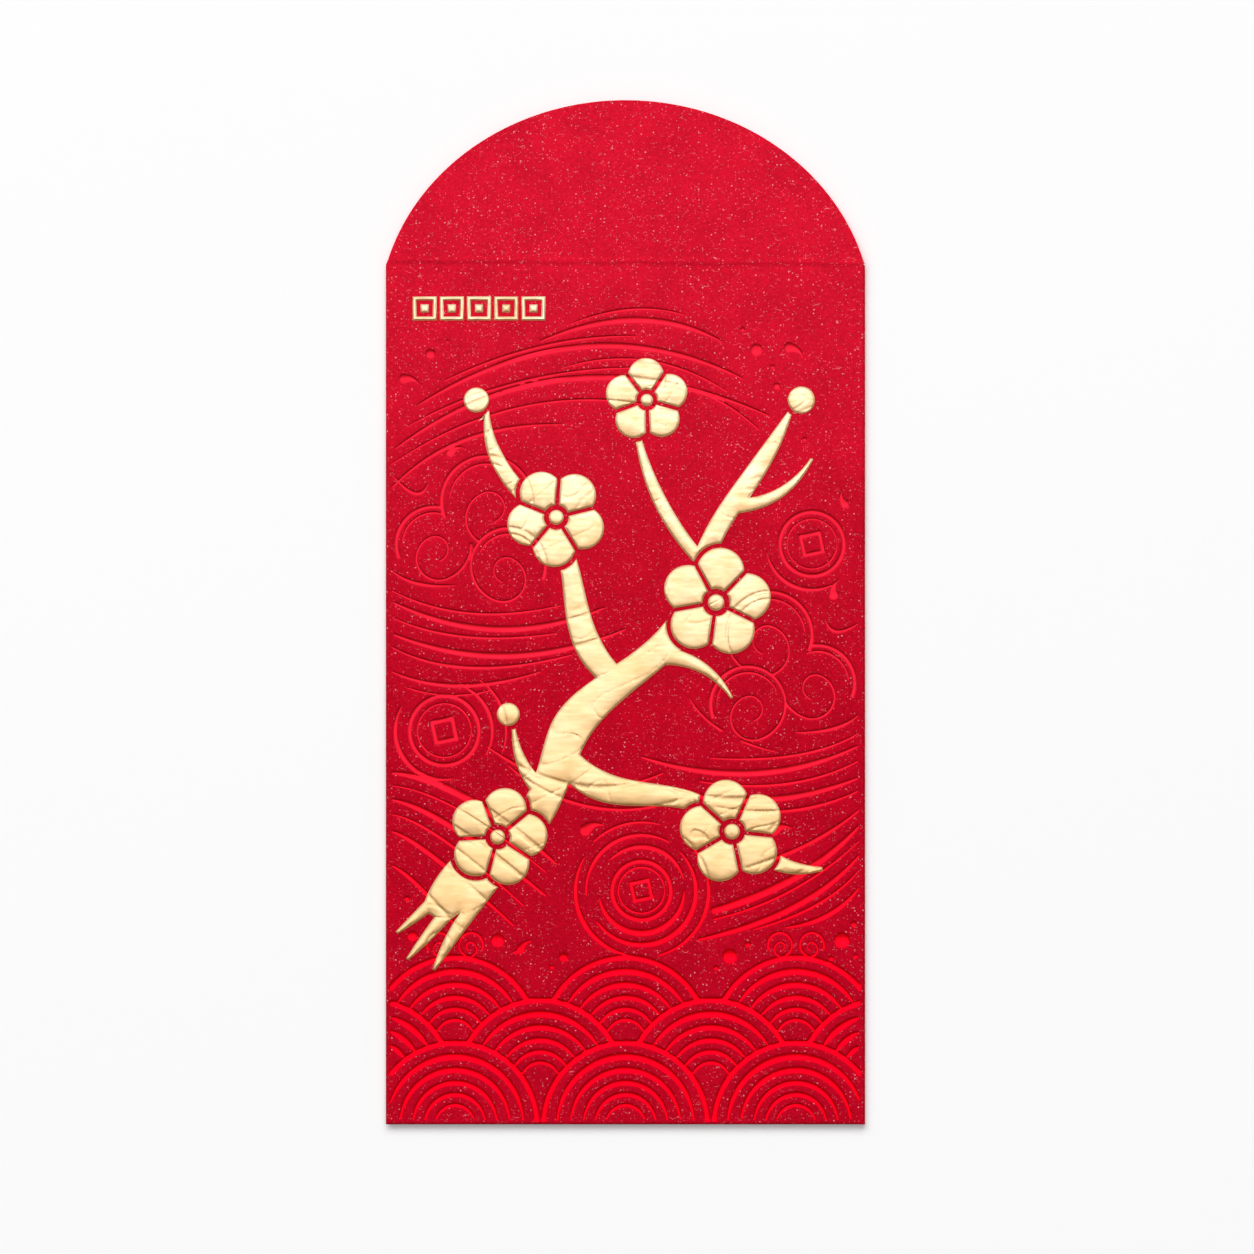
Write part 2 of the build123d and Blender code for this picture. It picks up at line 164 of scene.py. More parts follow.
# Drops of spray as (x, y, radius)
DROPS = (
    (-40, -45.6, 1.0), (-24, -46.4, 1.3), (-20.6, -48.6, 0.5), (-11.6, -49.6, 0.9), (-13.8, -51.4, 0.5),
    (19.6, -49.4, 1.4), (23, -47.2, 0.6), (17, -51.6, 0.5), (40.6, -46.4, 1.5), (42.8, -43.4, 0.6),
    (38.6, -49.8, 0.5), (43.2, -49.4, 0.5), (-41, -38.6, 0.6), (24.6, 64.4, 1.2), (27.6, 61.2, 0.5),
    (22, 68.2, 0.5), (33.6, 47.6, 0.5), (28.4, 57.6, 0.7), (-36.6, 63.6, 1.0), (-33.4, 66, 0.4),
)

# Loose petals as (x, y, length, turn)
PETALS = (
    (39.4, 19.4, 4.0, 70), (-32, 45.4, 3.6, 20), (31.6, 64.2, 4.2, -35), (-6.4, -25.4, 4.6, 15),
    (14, -27, 4.2, -30), (41, 36.4, 3.6, 100), (-40.6, 58.6, 4.0, -20), (29, -25.6, 4.4, 5),
    (-19, -47.6, 3.4, 40),
)
PETAL_BREADTH = 0.5
PETAL_BOW = 0.12
PETAL_TIP = 0.12

# Whirls of water as (x, y, radius, start angle, sweep, width)
WHIRLS = (
    (3, -37, 8.0, 190, 170, 1.1), (3, -37, 10.2, 215, 190, 1.0), (3, -37, 12.4, 150, 110, 0.9),
    (3, -37, 12.6, 285, 130, 0.8), (3, -37, 8.2, 15, 120, 0.9), (3, -37, 10.4, 60, 125, 0.8),
    (3, -37, 12.8, 75, 60, 0.6), (-34, -7, 9.2, 150, 130, 0.9), (-34, -7, 9.0, 330, 100, 0.8),
    (-34, -7, 11.6, 340, 75, 0.7), (35, 28, 8.6, 190, 110, 0.8),
)

# Coins as (x, y, radius), with a square frame round a square hole
COINS = ((35, 28, 6.5), (-34, -7, 7.0), (3, -37, 6.0))
COIN_LINE = 1.0
COIN_RIM = 0.45
COIN_RIM_REACH = 0.72
COIN_FRAME = 0.7
COIN_HOLE = 0.4
COIN_TURN = 12

# Lines: fineness of their tips, swell of a brush, spacing of their points and the shortest run that is kept
TIP = 0.32
FADED_TIP = 0.45
BRUSH = 1.25
SWELL = 0.6
LINE_STEP = 0.5
ARC_STEPS = 10
BOW_STEPS = 8
SHORTEST_RUN = 5

# Sheet of the front: spacing of its loose points, round ends and merging, in millimetres
SHEET_STEP = 0.8
SHEET_CLEAR = 0.3
SHEET_MERGE = 0.004
CAP_STEP = 0.3
CAP_STEPS = 3
LEAST_FLOOR = 0.15
FOIL_FILM = 0.02
CARD_UNDER_FOIL = 1.5 * FOIL_FILM
EDGE_FADE = 0.4
PRESS_REACH = 0.9
STROKE_MARGIN = 3.0
FAR_FROM_STROKES = 100.0

# Crease: where its ridge runs, its sways as (breadth, pace, start), the length that it dies out over at its
# ends, and its rise as (distance from the ridge towards the flap, height)
CREASE_Y = 81.1
CREASE_TILT = -0.3
CREASE_SWAYS = ((0.09, 0.23, 1), (0.05, 0.61, 0))
CREASE_END = 2
CREASE_PROFILE = ((-4.0, 0.0), (-0.9, -0.08), (0.0, 0.09), (0.9, 0.0))
CREASE_ROWS = (79.5, 79.8, 80.0, 80.2, 80.4)

# Gold: pillowed edge, crowned face, dents as (depth, pace, layer), wrinkles, and red lines pressed through
GOLD_NODES = ("gold_branch", "gold_blossoms", "gold_buds", "gold_fret_strip")
GOLD_INSETS = (0.09 * MM, 0.14 * MM)
PILLOW_REACH = 0.22
CROWN_RISE = 0.26 * MM
CROWN_REACH = 1.6
DENTS = ((0.08, 0.28, 3.1), (0.012, 0.8, 7.7))
SWAY_PACE, SWAY_LAYER = 0.1, 1.3
WRINKLE_PACE, WRINKLE_SLANT, WRINKLE_SHIFT, WRINKLE_LAYER = (0.09, 0.22), 0.1, 0.37, 5.5
WRINKLE_DEPTH, WRINKLE_BREADTH = 0.07, 0.05
PRESSED_THROUGH = 0.6
EDGE_SHARE = 0.3
UPRIGHT, FACING_UP = 0.5, 0.9

# Card's finish: specks that fade at their rims, and fibres as (turn, share)
SPOT_CORE = 0.55
SPOT_CHOICE = 0.02
DIMMEST_SPOT = 0.35
FIBRES = ((35, 0.03), (-52, 0.025), (88, 0.025))
FIBRE_STRETCH = (0.42, 3.6, 1)
FIBRE_BEND = (1.7, 1.7, 0)
FIBRE_STRENGTH = 0.65
DUST_STRENGTH = 0.55
CARD_ROUGHNESS = (0.55, 0.30)
CARD_SHEEN = 0.015
# Share of the specks kept low on the front: higher up they are painted brighter, a painted glint.
LOW_GLINT = 0.8

# Foil's and glue's finish: ranges of the uneven values that mark them, and roughness by their streaks
MARK_RANGE = (0.30, 0.72)
STREAK_RANGE = (0.3, 0.7)
RED_ROUGHNESS = (0.26, 0.40)
GOLD_ROUGHNESS = (0.27, 0.40)
GOLD_DENTS = (0.38, 0.66)
GOLD_STREAKS = (0.35, 0.75)
GOLD_WEAR = 0.45
# Heights above the front over which the gold's low edges take on painted shade.
GOLD_EDGE_SHADE_LEVELS = (0.30, 0.05)
GLUE_ROUGHNESS = (0.2, 0.45)
GLUE_TONES = ((0.52, 0.36, 0.30), (0.78, 0.66, 0.56))

# Stage: softboxes as (place, size), and the room that the foil mirrors by direction
TABLE_HALF = 3.0
TABLE_GAP = 0.01 * MM
TABLE_ROUGHNESS = 0.9
OVERHEAD_SOFTBOX = ((0, 1.2, 5.4), (6.0, 4.8))
FAR_SOFTBOX = ((-1.2, 4.7, 4.1), (9.0, 3.0))
UNDER_SOFTBOX = ((0.6, 3.6, -2.8), (4.0, 4.0))
ROOM_DEPTH = (-0.4, 0.4)
ROOM_CEILING = (0.65, 0.95)
ROOM_FOOT = (0.55, 0.25)
SENSOR = 36
CAMERA_SHIFT = (0.28 * MM, 12.4 * MM)


class EnvelopeCard(bpy.types.PropertyGroup):
    """Sizes and colours of the card."""

    # The card's two reds make a painted gradient of light: lightest on the flap, with painted shade low on
    # the front.
    red: FloatVectorProperty(
        name="Red", description="Red of the card on the flap, where it is lightest",
        subtype="COLOR", default=(0.74, 0.0075, 0.030), min=0, max=1)
    shaded_red: FloatVectorProperty(
        name="Deep red", description="Red of the card low on the front",
        subtype="COLOR", default=(0.535, 0.0018, 0.016), min=0, max=1)
    speck: FloatVectorProperty(
        name="Speck", description="Pale mica specks and fibres in the card",
        subtype="COLOR", default=(0.96, 0.36, 0.40), min=0, max=1)
    score_depth: FloatProperty(
        name="Score depth", description="Depth of the groove inside the crease",
        default=0.1 * MM, min=0, precision=5, unit="LENGTH")
    show_through: FloatProperty(
        name="Show-through", description="How far the back sinks where no tab is behind it",
        default=0.06 * MM, min=0, precision=5, unit="LENGTH")


class EnvelopeFoil(bpy.types.PropertyGroup):
    """Sizes and colours of the stamped foil."""

    red: FloatVectorProperty(
        name="Red foil", description="Red of the stamped lines low on the front",
        subtype="COLOR", default=(0.95, 0.0008, 0.013), min=0, max=1)
    soft_red: FloatVectorProperty(
        name="Soft red foil", description="Duller red of the stamped lines high on the front",
        subtype="COLOR", default=(0.73, 0.012, 0.035), min=0, max=1)
    # The two golds make a painted gradient of light: pale high on the front, with painted shade low on it.
    gold: FloatVectorProperty(
        name="Gold foil", description="Pale gold of the branch and blossoms high on the front",
        subtype="COLOR", default=(0.92, 0.755, 0.535), min=0, max=1)
    shaded_gold: FloatVectorProperty(
        name="Warm gold", description="Gold of the branch and blossoms low on the front",
        subtype="COLOR", default=(0.72, 0.525, 0.29), min=0, max=1)
    deep_gold: FloatVectorProperty(
        name="Deep gold", description="Browner gold in the dents of the foil",
        subtype="COLOR", default=(0.72, 0.465, 0.205), min=0, max=1)
    # Painted shade on the low slopes of the gold's edges.
    edge_shade_gold: FloatVectorProperty(
        name="Edge gold", description="Gold low on the foil's edges",
        subtype="COLOR", default=(0.90, 0.66, 0.38), min=0, max=1)
    red_depth: FloatProperty(
        name="Red depth", description="Depth that the red lines are stamped into the card",
        default=0.20 * MM, min=0, precision=5, unit="LENGTH")
    wall: FloatProperty(
        name="Wall", description="Breadth of the slope at each side of a red line",
        default=0.27 * MM, min=0.05 * MM, precision=5, unit="LENGTH")
    shoulder: FloatProperty(
        name="Shoulder", description="Depth that the card rounds down to a red line's edge",
        default=0.05 * MM, min=0, precision=5, unit="LENGTH")
    soften: FloatProperty(
        name="Soften", description="Breadth of card that rounds down to a red line",
        default=0.35 * MM, min=0.05 * MM, precision=5, unit="LENGTH")
    press: FloatProperty(
        name="Press", description="Height that the card itself is pressed up beside the gold",
        default=0.07 * MM, min=0, precision=5, unit="LENGTH")
    gold_edge: FloatProperty(
        name="Gold edge", description="Height of the gold foil at its cut edge",
        default=0.12 * MM, min=0, precision=5, unit="LENGTH")
    gold_step: FloatProperty(
        name="Gold mesh step", description="Spacing of the points in the gold foil's face",
        default=0.28 * MM, min=0.1 * MM, precision=5, unit="LENGTH")


class EnvelopeStage(bpy.types.PropertyGroup):
    """Camera, floor and light."""

    floor: FloatVectorProperty(
        name="Floor", description="Colour of the table",
        subtype="COLOR", default=(0.975, 0.975, 0.975), min=0, max=1)
    lift: FloatProperty(
        name="Shadow lift", description="Share of plain white in the table, which pales its shadows",
        default=0.04, min=0, max=1, subtype="FACTOR")
    camera_height: FloatProperty(
        name="Camera height", description="Height of the camera above the front",
        default=0.9, min=0.2, unit="LENGTH")
    frame_width: FloatProperty(
        name="Frame width", description="Width of the picture at the front of the envelope",
        default=0.2354, min=0.05, unit="LENGTH")
    overhead: FloatProperty(
        name="Overhead light", description="Brightness of the softbox overhead",
        default=1.13, min=0)
    far_side: FloatProperty(
        name="Far light", description="Brightness of the softbox beyond the flap",
        default=4.9, min=0)
    far_sheen: FloatProperty(
        name="Far sheen", description="Brightness of the room's far half as the foil mirrors it",
        default=1.0, min=0)
    near_room: FloatVectorProperty(
        name="Near room", description="Warm near half of the room as the foil mirrors it",
        subtype="COLOR", default=(0.68, 0.52, 0.35), min=0, max=1)
    near_dusk: FloatVectorProperty(
        name="Near dusk", description="Dim band across the near half as the foil mirrors it",
        subtype="COLOR", default=(0.16, 0.105, 0.06), min=0, max=1)
    under: FloatProperty(
        name="Under light", description="Brightness of the softbox below, for the envelope's back",
        default=6.5, min=0)
    fill: FloatProperty(
        name="Fill", description="Brightness of the room",
        default=0.24, min=0)


def add_piece(name, mesh, material):
    """Object for a finished mesh, at the origin, with its finish."""
    piece = bpy.data.objects.new(name, mesh)
    bpy.context.scene.collection.objects.link(piece)
    mesh.materials.clear()
    mesh.materials.append(material)
    return piece


def verts_in(geom):
    """Vertices among the parts of a shape."""
    return [item for item in geom if isinstance(item, bmesh.types.BMVert)]


def edges_in(geom):
    """Edges among the parts of a shape."""
    return [item for item in geom if isinstance(item, bmesh.types.BMEdge)]


def cut(shape, place, way, **cleared):
    """Cut a whole shape along a plane, and clear one side of it where asked."""
    bmesh.ops.bisect_plane(shape, geom=[*shape.verts, *shape.edges, *shape.faces], dist=CUT_SLACK,
                           plane_co=place, plane_no=way, **cleared)


def close_mesh(name, shape, sharp=CARD_SHARP):
    """Mesh of a finished shape, with outward faces and smooth shading that breaks at its sharp edges."""
    bmesh.ops.recalc_face_normals(shape, faces=shape.faces)
    for face in shape.faces:
        face.smooth = True
    for edge in shape.edges:
        edge.smooth = len(edge.link_faces) == 2 and edge.calc_face_angle(pi) < radians(sharp)
    mesh = bpy.data.meshes.new(name)
    shape.to_mesh(mesh)
    shape.free()
    return mesh


def link(tree, source, target):
    """Join one node's outlet to another's inlet."""
    tree.links.new(source, target)


def add_node(tree, kind, **values):
    """Shader node with some of its properties and named inputs set."""
    node = tree.nodes.new(kind)
    for key, value in values.items():
        if hasattr(node, key):
            setattr(node, key, value)
        else:
            node.inputs[key.replace("_", " ").title()].default_value = value
    return node


def mix_colour(tree, factor, first, second):
    """Mix of two colours, each a socket or a plain value."""
    node = tree.nodes.new("ShaderNodeMix")
    node.data_type = "RGBA"
    for index, value in ((0, factor), (6, first), (7, second)):
        if isinstance(value, bpy.types.NodeSocket):
            link(tree, value, node.inputs[index])
        elif isinstance(value, (int, float)):
            node.inputs[index].default_value = value
        else:
            node.inputs[index].default_value = (*value, 1)
    return node.outputs[2]


def remap(tree, value, low, high, to_low=0.0, to_high=1.0, smooth=False):
    """Value moved from one range to another and held at its ends."""
    node = tree.nodes.new("ShaderNodeMapRange")
    node.interpolation_type = "SMOOTHSTEP" if smooth else "LINEAR"
    for name, number in (("From Min", low), ("From Max", high), ("To Min", to_low), ("To Max", to_high)):
        node.inputs[name].default_value = number
    link(tree, value, node.inputs["Value"])
    return node.outputs["Result"]


def combine(tree, operation, first, second):
    """Sum, product or other maths of two values, each a socket or a number."""
    node = tree.nodes.new("ShaderNodeMath")
    node.operation = operation
    for index, value in enumerate((first, second)):
        if isinstance(value, bpy.types.NodeSocket):
            link(tree, value, node.inputs[index])
        else:
            node.inputs[index].default_value = value
    return node.outputs[0]


def weighed(tree, first, first_weight, second, second_weight):
    """Sum of two values, each times its weight."""
    return combine(tree, "ADD", combine(tree, "MULTIPLY", first, first_weight),
                   combine(tree, "MULTIPLY", second, second_weight))


def axis_of(tree, vector, axis):
    """One of the three values of a place or direction."""
    split = tree.nodes.new("ShaderNodeSeparateXYZ")
    link(tree, vector, split.inputs["Vector"])
    return split.outputs[axis]


def noise_value(tree, vector, scale, detail, roughness):
    """Uneven value about one half."""
    node = add_node(tree, "ShaderNodeTexNoise", scale=scale, detail=detail, roughness=roughness)
    link(tree, vector, node.inputs["Vector"])
    return node.outputs["Fac"]


def turned(tree, vector, angle, stretch):
    """Coordinates turned about Z and stretched, for marks that lie along one way."""
    node = tree.nodes.new("ShaderNodeMapping")
    node.inputs["Rotation"].default_value = (0, 0, radians(angle))
    node.inputs["Scale"].default_value = stretch
    link(tree, vector, node.inputs["Vector"])
    return node.outputs["Vector"]


def scattered(tree, vector, scale, size, share):
    """Mask of spots in a share of the cells of a grid, at chance places and brightness."""
    cells = add_node(tree, "ShaderNodeTexVoronoi", scale=scale)
    link(tree, vector, cells.inputs["Vector"])
    spot = remap(tree, cells.outputs["Distance"], size * SPOT_CORE, size, 1.0, 0.0, smooth=True)
    split = tree.nodes.new("ShaderNodeSeparateColor")
    link(tree, cells.outputs["Color"], split.inputs["Color"])
    chosen = remap(tree, split.outputs["Red"], 1 - share, 1 - share + SPOT_CHOICE)
    bright = remap(tree, split.outputs["Green"], 0.0, 1.0, DIMMEST_SPOT, 1.0)
    return combine(tree, "MULTIPLY", combine(tree, "MULTIPLY", spot, chosen), bright)


def start_group(name, *outputs):
    """New node group on coordinates in millimetres, with those coordinates and its outlets."""
    group = bpy.data.node_groups.new(name, "ShaderNodeTree")
    group.interface.new_socket("Vector", in_out="INPUT", socket_type="NodeSocketVector")
    for output in outputs:
        group.interface.new_socket(output, in_out="OUTPUT", socket_type="NodeSocketFloat")
    entry = group.nodes.new("NodeGroupInput")
    leave = group.nodes.new("NodeGroupOutput")
    return group, entry.outputs["Vector"], leave.inputs


def pearl_grain():
    """Node group: grain, mica specks and short fibres of pearl card."""
    group, vector, outlets = start_group("Pearl grain", "Grain", "Specks", "Height")
    fine = noise_value(group, vector, scale=2.6, detail=4.0, roughness=0.65)
    cloudy = noise_value(group, vector, scale=0.12, detail=3.0, roughness=0.55)
    dust = scattered(group, vector, scale=2.9, size=0.33, share=0.24)
    flakes = scattered(group, vector, scale=1.3, size=0.22, share=0.26)
    bend = add_node(group, "ShaderNodeTexNoise", scale=0.8, detail=1.0)
    link(group, vector, bend.inputs["Vector"])
    curved = add_node(group, "ShaderNodeVectorMath", operation="MULTIPLY_ADD")
    curved.inputs[1].default_value = FIBRE_BEND
    link(group, bend.outputs["Color"], curved.inputs[0])
    link(group, vector, curved.inputs[2])
    hairs = None
    for angle, share in FIBRES:
        along = turned(group, curved.outputs["Vector"], angle, FIBRE_STRETCH)
        fibres = scattered(group, along, scale=1.25, size=0.30, share=share)
        hairs = combine(group, "MAXIMUM", hairs, fibres) if hairs else fibres
    hairs = combine(group, "MULTIPLY", hairs, FIBRE_STRENGTH)
    dust = combine(group, "MULTIPLY", dust, DUST_STRENGTH)
    specks = combine(group, "MAXIMUM", dust, combine(group, "MAXIMUM", flakes, hairs))
    link(group, weighed(group, fine, 0.75, cloudy, 0.25), outlets["Grain"])
    link(group, specks, outlets["Specks"])
    link(group, weighed(group, fine, 0.8, specks, 0.5), outlets["Height"])
    return group


def foil_wear():
    """Node group: fine crinkle, soft dents and dull streaks of stamped foil."""
    group, vector, outlets = start_group("Foil wear", "Dents", "Streaks", "Crinkle")
    along = turned(group, vector, angle=62, stretch=(0.25, 1.6, 1))
    dents = noise_value(group, vector, scale=0.22, detail=3.0, roughness=0.55)
    streaks = noise_value(group, along, scale=0.9, detail=3.0, roughness=0.6)
    crinkle = noise_value(group, vector, scale=3.4, detail=4.0, roughness=0.6)
    link(group, dents, outlets["Dents"])
    link(group, streaks, outlets["Streaks"])
    link(group, crinkle, outlets["Crinkle"])
    return group


def start_material(name, group):
    """New material with coordinates in millimetres fed to a shared node group."""
    material = bpy.data.materials.new(name)
    material.use_nodes = True
    tree = material.node_tree
    shader = tree.nodes["Principled BSDF"]
    place = tree.nodes.new("ShaderNodeTexCoord")
    scaled = tree.nodes.new("ShaderNodeMapping")
    scaled.inputs["Scale"].default_value = (1 / MM, 1 / MM, 1 / MM)
    link(tree, place.outputs["Object"], scaled.inputs["Vector"])
    detail = tree.nodes.new("ShaderNodeGroup")
    detail.node_tree = group
    link(tree, scaled.outputs["Vector"], detail.inputs["Vector"])
    return material, tree, shader, detail, scaled.outputs["Vector"]


def roughen(tree, shader, height, depth, strength):
    """Fine relief on a material's surface."""
    bump = tree.nodes.new("ShaderNodeBump")
    bump.inputs["Distance"].default_value = depth
    bump.inputs["Strength"].default_value = strength
    link(tree, height, bump.inputs["Height"])
    link(tree, bump.outputs["Normal"], shader.inputs["Normal"])


def upwards(tree, vector, low, high):
    """Share from 0 at a low place on the envelope to 1 at a high one."""
    return remap(tree, axis_of(tree, vector, "Y"), low, high, smooth=True)


def worn(tree, tone, marks, darkest, lightest):
    """Colour that is darker and lighter by an uneven value about one half."""
    scale = tree.nodes.new("ShaderNodeVectorMath")
    scale.operation = "SCALE"
    link(tree, tone, scale.inputs[0])
    link(tree, remap(tree, marks, *MARK_RANGE, darkest, lightest), scale.inputs["Scale"])
    return scale.outputs["Vector"]


def card_material(name, speck_strength, dull):
    """Pearl card with grain, specks and fibres, painted lighter towards the flap and darker low on the front
    as painted light and shade, and with specks painted brighter towards the flap as a painted glint.
    """
    card = bpy.context.scene.envelope_card
    group = bpy.data.node_groups.get("Pearl grain") or pearl_grain()
    material, tree, shader, detail, vector = start_material(name, group)
    # Painted light: the card's red runs from painted shade low on the front to lightest on the flap.
    height = upwards(tree, vector, low=-25, high=105)
    tone = mix_colour(tree, height, card.shaded_red, card.red)
    tone = worn(tree, tone, detail.outputs["Grain"], darkest=0.62, lightest=1.29)
    # Painted glint: the specks grow brighter towards the flap, as if catching the light beyond it.
    glint = remap(tree, height, 0, 0.5, LOW_GLINT * speck_strength, speck_strength)
    specks = combine(tree, "MULTIPLY", detail.outputs["Specks"], glint)
    link(tree, mix_colour(tree, specks, tone, card.speck), shader.inputs["Base Color"])
    rough, polished = (roughness + dull for roughness in CARD_ROUGHNESS)
    link(tree, remap(tree, specks, 0.0, 0.8, rough, polished), shader.inputs["Roughness"])
    shader.inputs["Specular IOR Level"].default_value = CARD_SHEEN
    roughen(tree, shader, detail.outputs["Height"], depth=0.03 * MM, strength=0.5)
    return material


def start_film(name, roughness, depth, strength):
    """New material of a thin film that is rougher in its streaks, with fine crinkle."""
    group = bpy.data.node_groups.get("Foil wear") or foil_wear()
    material, tree, shader, detail, vector = start_material(name, group)
    streaks = remap(tree, detail.outputs["Streaks"], *STREAK_RANGE, *roughness)
    link(tree, streaks, shader.inputs["Roughness"])
    roughen(tree, shader, detail.outputs["Crinkle"], depth, strength)
    return material, tree, shader, detail, vector


def red_foil_material():
    """Red stamped foil: bright, slightly uneven metal."""
    foil = bpy.context.scene.envelope_foil
    material, tree, shader, detail, vector = start_film(
        "Red foil", RED_ROUGHNESS, depth=0.01 * MM, strength=0.35)
    tone = mix_colour(tree, upwards(tree, vector, low=-60, high=5), foil.red, foil.soft_red)
    tone = worn(tree, tone, detail.outputs["Dents"], darkest=0.86, lightest=1.06)
    link(tree, tone, shader.inputs["Base Color"])
    shader.inputs["Metallic"].default_value = 1.0
    return material


def gold_foil_material():
    """Pale gold stamped foil: satin metal, warmer in its dents, with fine crinkle, and painted darker low on
    the front and low on its edges as painted shade.
    """
    foil = bpy.context.scene.envelope_foil
    material, tree, shader, detail, vector = start_film(
        "Gold foil", GOLD_ROUGHNESS, depth=0.012 * MM, strength=0.4)
    dents = remap(tree, detail.outputs["Dents"], *GOLD_DENTS)
    streaks = remap(tree, detail.outputs["Streaks"], *GOLD_STREAKS)
    warm = combine(tree, "MULTIPLY", combine(tree, "ADD", dents, streaks), GOLD_WEAR)
    # Painted light: the gold runs from painted shade low on the front to pale high on it.
    tone = mix_colour(tree, upwards(tree, vector, low=-40, high=75), foil.shaded_gold, foil.gold)
    tone = mix_colour(tree, warm, tone, foil.deep_gold)
    # Painted shade: the gold turns darker and browner low on its edges.
    edge = remap(tree, axis_of(tree, vector, "Z"), *(FRONT_TOP / MM + level for level in GOLD_EDGE_SHADE_LEVELS))
    link(tree, mix_colour(tree, edge, tone, foil.edge_shade_gold), shader.inputs["Base Color"])
    shader.inputs["Metallic"].default_value = 1.0
    return material


def glue_material():
    """Dried glue: clear film with a milky, uneven spread."""
    material, tree, shader, detail, _ = start_film(
        "Dried glue", GLUE_ROUGHNESS, depth=0.01 * MM, strength=0.4)
    link(tree, mix_colour(tree, detail.outputs["Dents"], *GLUE_TONES), shader.inputs["Base Color"])
    return material


def finish_material(name):
    """Finish by name, made when it is first asked for."""
    makers = {
        "Pearl card": lambda: card_material("Pearl card", speck_strength=1.0, dull=0.0),
        "Card inside": lambda: card_material("Card inside", speck_strength=0.45, dull=0.1),
        "Red foil": red_foil_material,
        "Gold foil": gold_foil_material,
        "Dried glue": glue_material,
    }
    return bpy.data.materials.get(name) or makers[name]()


def arc(x, y, radius, start, sweep):
    """Points along a round line."""
    count = max(ARC_STEPS, ceil(abs(radians(sweep)) * radius / LINE_STEP))
    angles = [radians(start + sweep * index / count) for index in range(count + 1)]
    return [(x + radius * cos(angle), y + radius * sin(angle)) for angle in angles]


def bow(start, middle, end):
    """Points along a bowed line through three points."""
    pull = [2 * m - (s + e) / 2 for s, m, e in zip(start, middle, end)]
    count = max(BOW_STEPS, ceil(hypot(end[0] - start[0], end[1] - start[1]) / LINE_STEP))
    steps = [index / count for index in range(count + 1)]
    return [tuple((1 - t) ** 2 * s + 2 * t * (1 - t) * p + t * t * e for s, p, e in zip(start, pull, end))
            for t in steps]


def even(points, width):
    """Line of one width."""
    return [(point, width) for point in points]


def brushed(points, width, tip=TIP):
    """Line that swells from fine tips, as a brush makes it."""
    width *= BRUSH
    last = len(points) - 1
    swell = [max(0.0, sin(pi * index / last)) ** SWELL for index in range(last + 1)]
    return [(point, width * (tip + (1 - tip) * share)) for point, share in zip(points, swell)]


def fading(points, width, tip=FADED_TIP):
    """Line that thins from its start to its end."""
    last = len(points) - 1
    return [(point, width * (1 - (1 - tip) * index / last)) for index, point in enumerate(points)]


def volute(x, y, radius, angle, sense, line):
    """Points of a cloud lobe whose outline winds inwards."""
    outside = radius - line / 2
    sweep = sense * VOLUTE_LEAD
    last = outside
    points = []
    for share in VOLUTE_REACH:
        reach = outside * share
        x += (last - reach) * cos(radians(angle))
        y += (last - reach) * sin(radians(angle))
        points += arc(x, y, reach, angle, sweep)[1 if points else 0:]
        angle += sweep
        sweep = sense * VOLUTE_TURN
        last = reach
    return points


def uncovered(line, covers):
    """Runs of a line on the foil's area that no round form in front of it covers."""
    runs = [[]]
    for (x, y), width in line:
        inside = FOIL_LEFT <= x <= FOIL_RIGHT and FOIL_LOW <= y <= FOIL_HIGH
        if inside and all(hypot(x - cx, y - cy) >= radius for cx, cy, radius in covers):
            runs[-1].append(((x, y), width))
        elif runs[-1]:
            runs.append([])
    return [run for run in runs if len(run) >= SHORTEST_RUN]


def outline(stroke, grow):
    """Closed line about a stroke with round ends, moved out from its edge by grow."""
    spots = [Vector(point) for point, _ in stroke]
    halves = [max(width / 2 + grow, width * LEAST_FLOOR) for _, width in stroke]
    pairs = zip([spots[0], *spots], [*spots[1:], spots[-1]])
    ways = [(after - before).normalized() for before, after in pairs]
    sides = [Vector((-way.y, way.x)) * half for way, half in zip(ways, halves)]
    left = [spot + side for spot, side in zip(spots, sides)]
    right = [spot - side for spot, side in zip(spots, sides)]
    finish = round_end(spots[-1], halves[-1], ways[-1])
    start = round_end(spots[0], halves[0], -ways[0])
    return [*left, *finish, *reversed(right), *start]


def round_end(spot, half, way):
    """Points round the end of a stroke, from its left side to its right."""
    count = max(CAP_STEPS, ceil(pi * half / CAP_STEP))
    turns = [atan2(way.y, way.x) + pi / 2 - pi * step / count for step in range(1, count)]
    return [spot + half * Vector((cos(turn), sin(turn))) for turn in turns]


def lobe_covers(lobes):
    """Round forms of a cloud's lobes."""
    return [(x, y, radius - CLOUD_LINE / 2) for x, y, radius, _, _ in lobes]


def all_covers():
    """Round forms that hide the lines behind them."""
    lobes = [cover for parts, _ in CLOUDS.values() for cover in lobe_covers(parts)]
    coins = [(x, y, radius - COIN_LINE / 2) for x, y, radius in COINS]
    return lobes + coins + wave_covers(WAVE_ROWS)


def wave_centres(row):
    """Centres of the scallops in a row, every second row shifted by half a scallop."""
    shift = WAVE_RADIUS * (row % 2)
    return [(2 * WAVE_RADIUS * index - shift, WAVE_FOOT + row * WAVE_RISE) for index in WAVE_COLUMNS]


def wave_covers(rows):
    """Round forms of the scallops in the lowest rows."""
    return [(x, y, WAVE_RADIUS - WAVE_LINE / 2) for row in range(rows) for x, y in wave_centres(row)]


